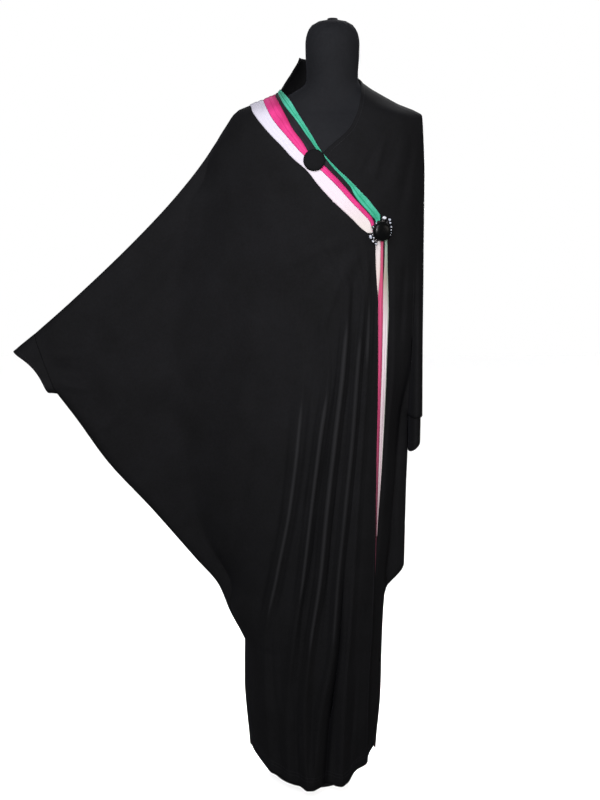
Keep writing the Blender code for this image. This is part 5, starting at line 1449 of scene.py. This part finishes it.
# Cloth as it was cut, before it was sewn: width and length of the piece and its flat area,
# all round where it is a tube; how it is held and on what it lies
cuts = {
    frontWrap: ((0.86, 1.56), 0.760, "draped", [formCover]),
    frontUnder: ((0.36, 1.56), 0.282, "draped", [formCover]),
    backPanel: ((0.98, 1.62), 0.994, "draped", [formCover]),
    cuffSpread: ((0.28, 0.060), 0.0097, "hung", [frontWrap, backPanel]),
    cuffHanging: ((0.20, 0.098), 0.0194, "hung", [frontUnder, backPanel]),
    bands["white"]: ((0.034, 0.400), 0.0103, "gathered", [frontWrap]),
    bands["pink"]: ((0.026, 0.400), 0.0072, "gathered", [frontWrap]),
    bands["charcoal"]: ((0.012, 0.390), 0.0038, "gathered", [frontWrap]),
    bands["green"]: ((0.018, 0.400), 0.0053, "gathered", [frontWrap]),
    tails["white"]: ((0.020, 0.160), 0.0030, "hung", [frontUnder]),
    tails["pink"]: ((0.020, 0.790), 0.0104, "hung", [frontUnder]),
    tails["mint"]: ((0.014, 0.660), 0.0068, "hung", [frontUnder]),
}
for piece, (flat, area, held, under) in cuts.items():
    shown = sum(polygon.area for polygon in piece.data.polygons) / 2
    print("cloth", piece.name, "cut", area, "shown", round(shown, 5))

# Plain pale floor, soft studio light
stageSizes = {"floor": 14.0, "floorColour": "#FCFCFC", "backdrop": 1.0, "fill": 0.13,
              "overhead": 2.8, "overheadSpread": 35, "wide": 180, "narrow": 78}
half = stageSizes["floor"] / 2
floorMesh = bpy.data.meshes.new("floor")
floorMesh.from_pydata([(-half, -half, 0), (half, -half, 0), (half, half, 0), (-half, half, 0)],
                      [], [(0, 1, 2, 3)])
floor = addObject("floor", floorMesh)
floorMesh.materials.append(shaded(newMaterial("paintedFloor")[0], {
    "Roughness": 0.9, "Specular IOR Level": 0.1, "Base Color": stageSizes["floorColour"]}))
# Its pale bounce would grey the black cloth, so it lights nothing
floor.visible_diffuse = floor.visible_glossy = False

world = bpy.data.worlds.new("studio")
bpy.context.scene.world = world
world.use_nodes = True
# White to look at, dimmer as a fill so that the softboxes shape the folds
seen = addNode(world.node_tree, "LightPath", out="Is Camera Ray")
fill = addNode(world.node_tree, "MapRange", {
    "Value": seen, "To Min": stageSizes["fill"], "To Max": stageSizes["backdrop"]})
setInputs(world.node_tree, world.node_tree.nodes["Background"], {"Color": "#FFFFFF", "Strength": fill})

# Softboxes: place, aim, size, power, colour, how far their light spreads
lights = {
    "key": ((-0.25, -2.5, 1.65), (-0.1, 0.0, 1.08), 0.5, 11, "#FAF8FB", "narrow"),
    "behind": ((0.6, 2.6, 1.45), (-0.1, 0.0, 1.0), 0.5, 42, "#FAF8FB", "narrow"),
    "high": ((-0.45, -1.9, 2.75), (-0.1, 0.0, 1.35), 0.7, 34, "#F2F3FF", "wide"),
    "side": ((2.8, -1.2, 1.8), (0.0, 0.0, 0.9), 1.2, 12, "#FFF6EE", "wide"),
    "back": ((0.4, 2.2, 2.7), (0.0, 0.0, 1.2), 0.9, 20, "#FFFFFF", "wide"),
}
for name, (place, aim, size, power, tint, spread) in lights.items():
    lamp = bpy.data.lights.new(name, "AREA")
    lamp.shape, lamp.size, lamp.energy = "SQUARE", size, power
    lamp.color = colour(tint)[:3]
    lamp.spread = math.radians(stageSizes[spread])
    made = addObject(name, lamp)
    made.location = place
    made.rotation_euler = (Vector(aim) - Vector(place)).to_track_quat("-Z", "Y").to_euler()
    made.visible_camera = False
# A wide ceiling light keeps the floor pale all over. It falls on nothing else and casts no
# shadow, so the hem leaves no dark pool
ceiling = bpy.data.lights.new("ceiling", "SUN")
ceiling.energy = stageSizes["overhead"]
ceiling.angle = math.radians(stageSizes["overheadSpread"])
ceiling.use_shadow = False
litFloor = bpy.data.collections.new("litFloor")
litFloor.objects.link(floor)
addObject("ceiling", ceiling).light_linking.receiver_collection = litFloor
bpy.context.scene.view_settings.view_transform = "Standard"
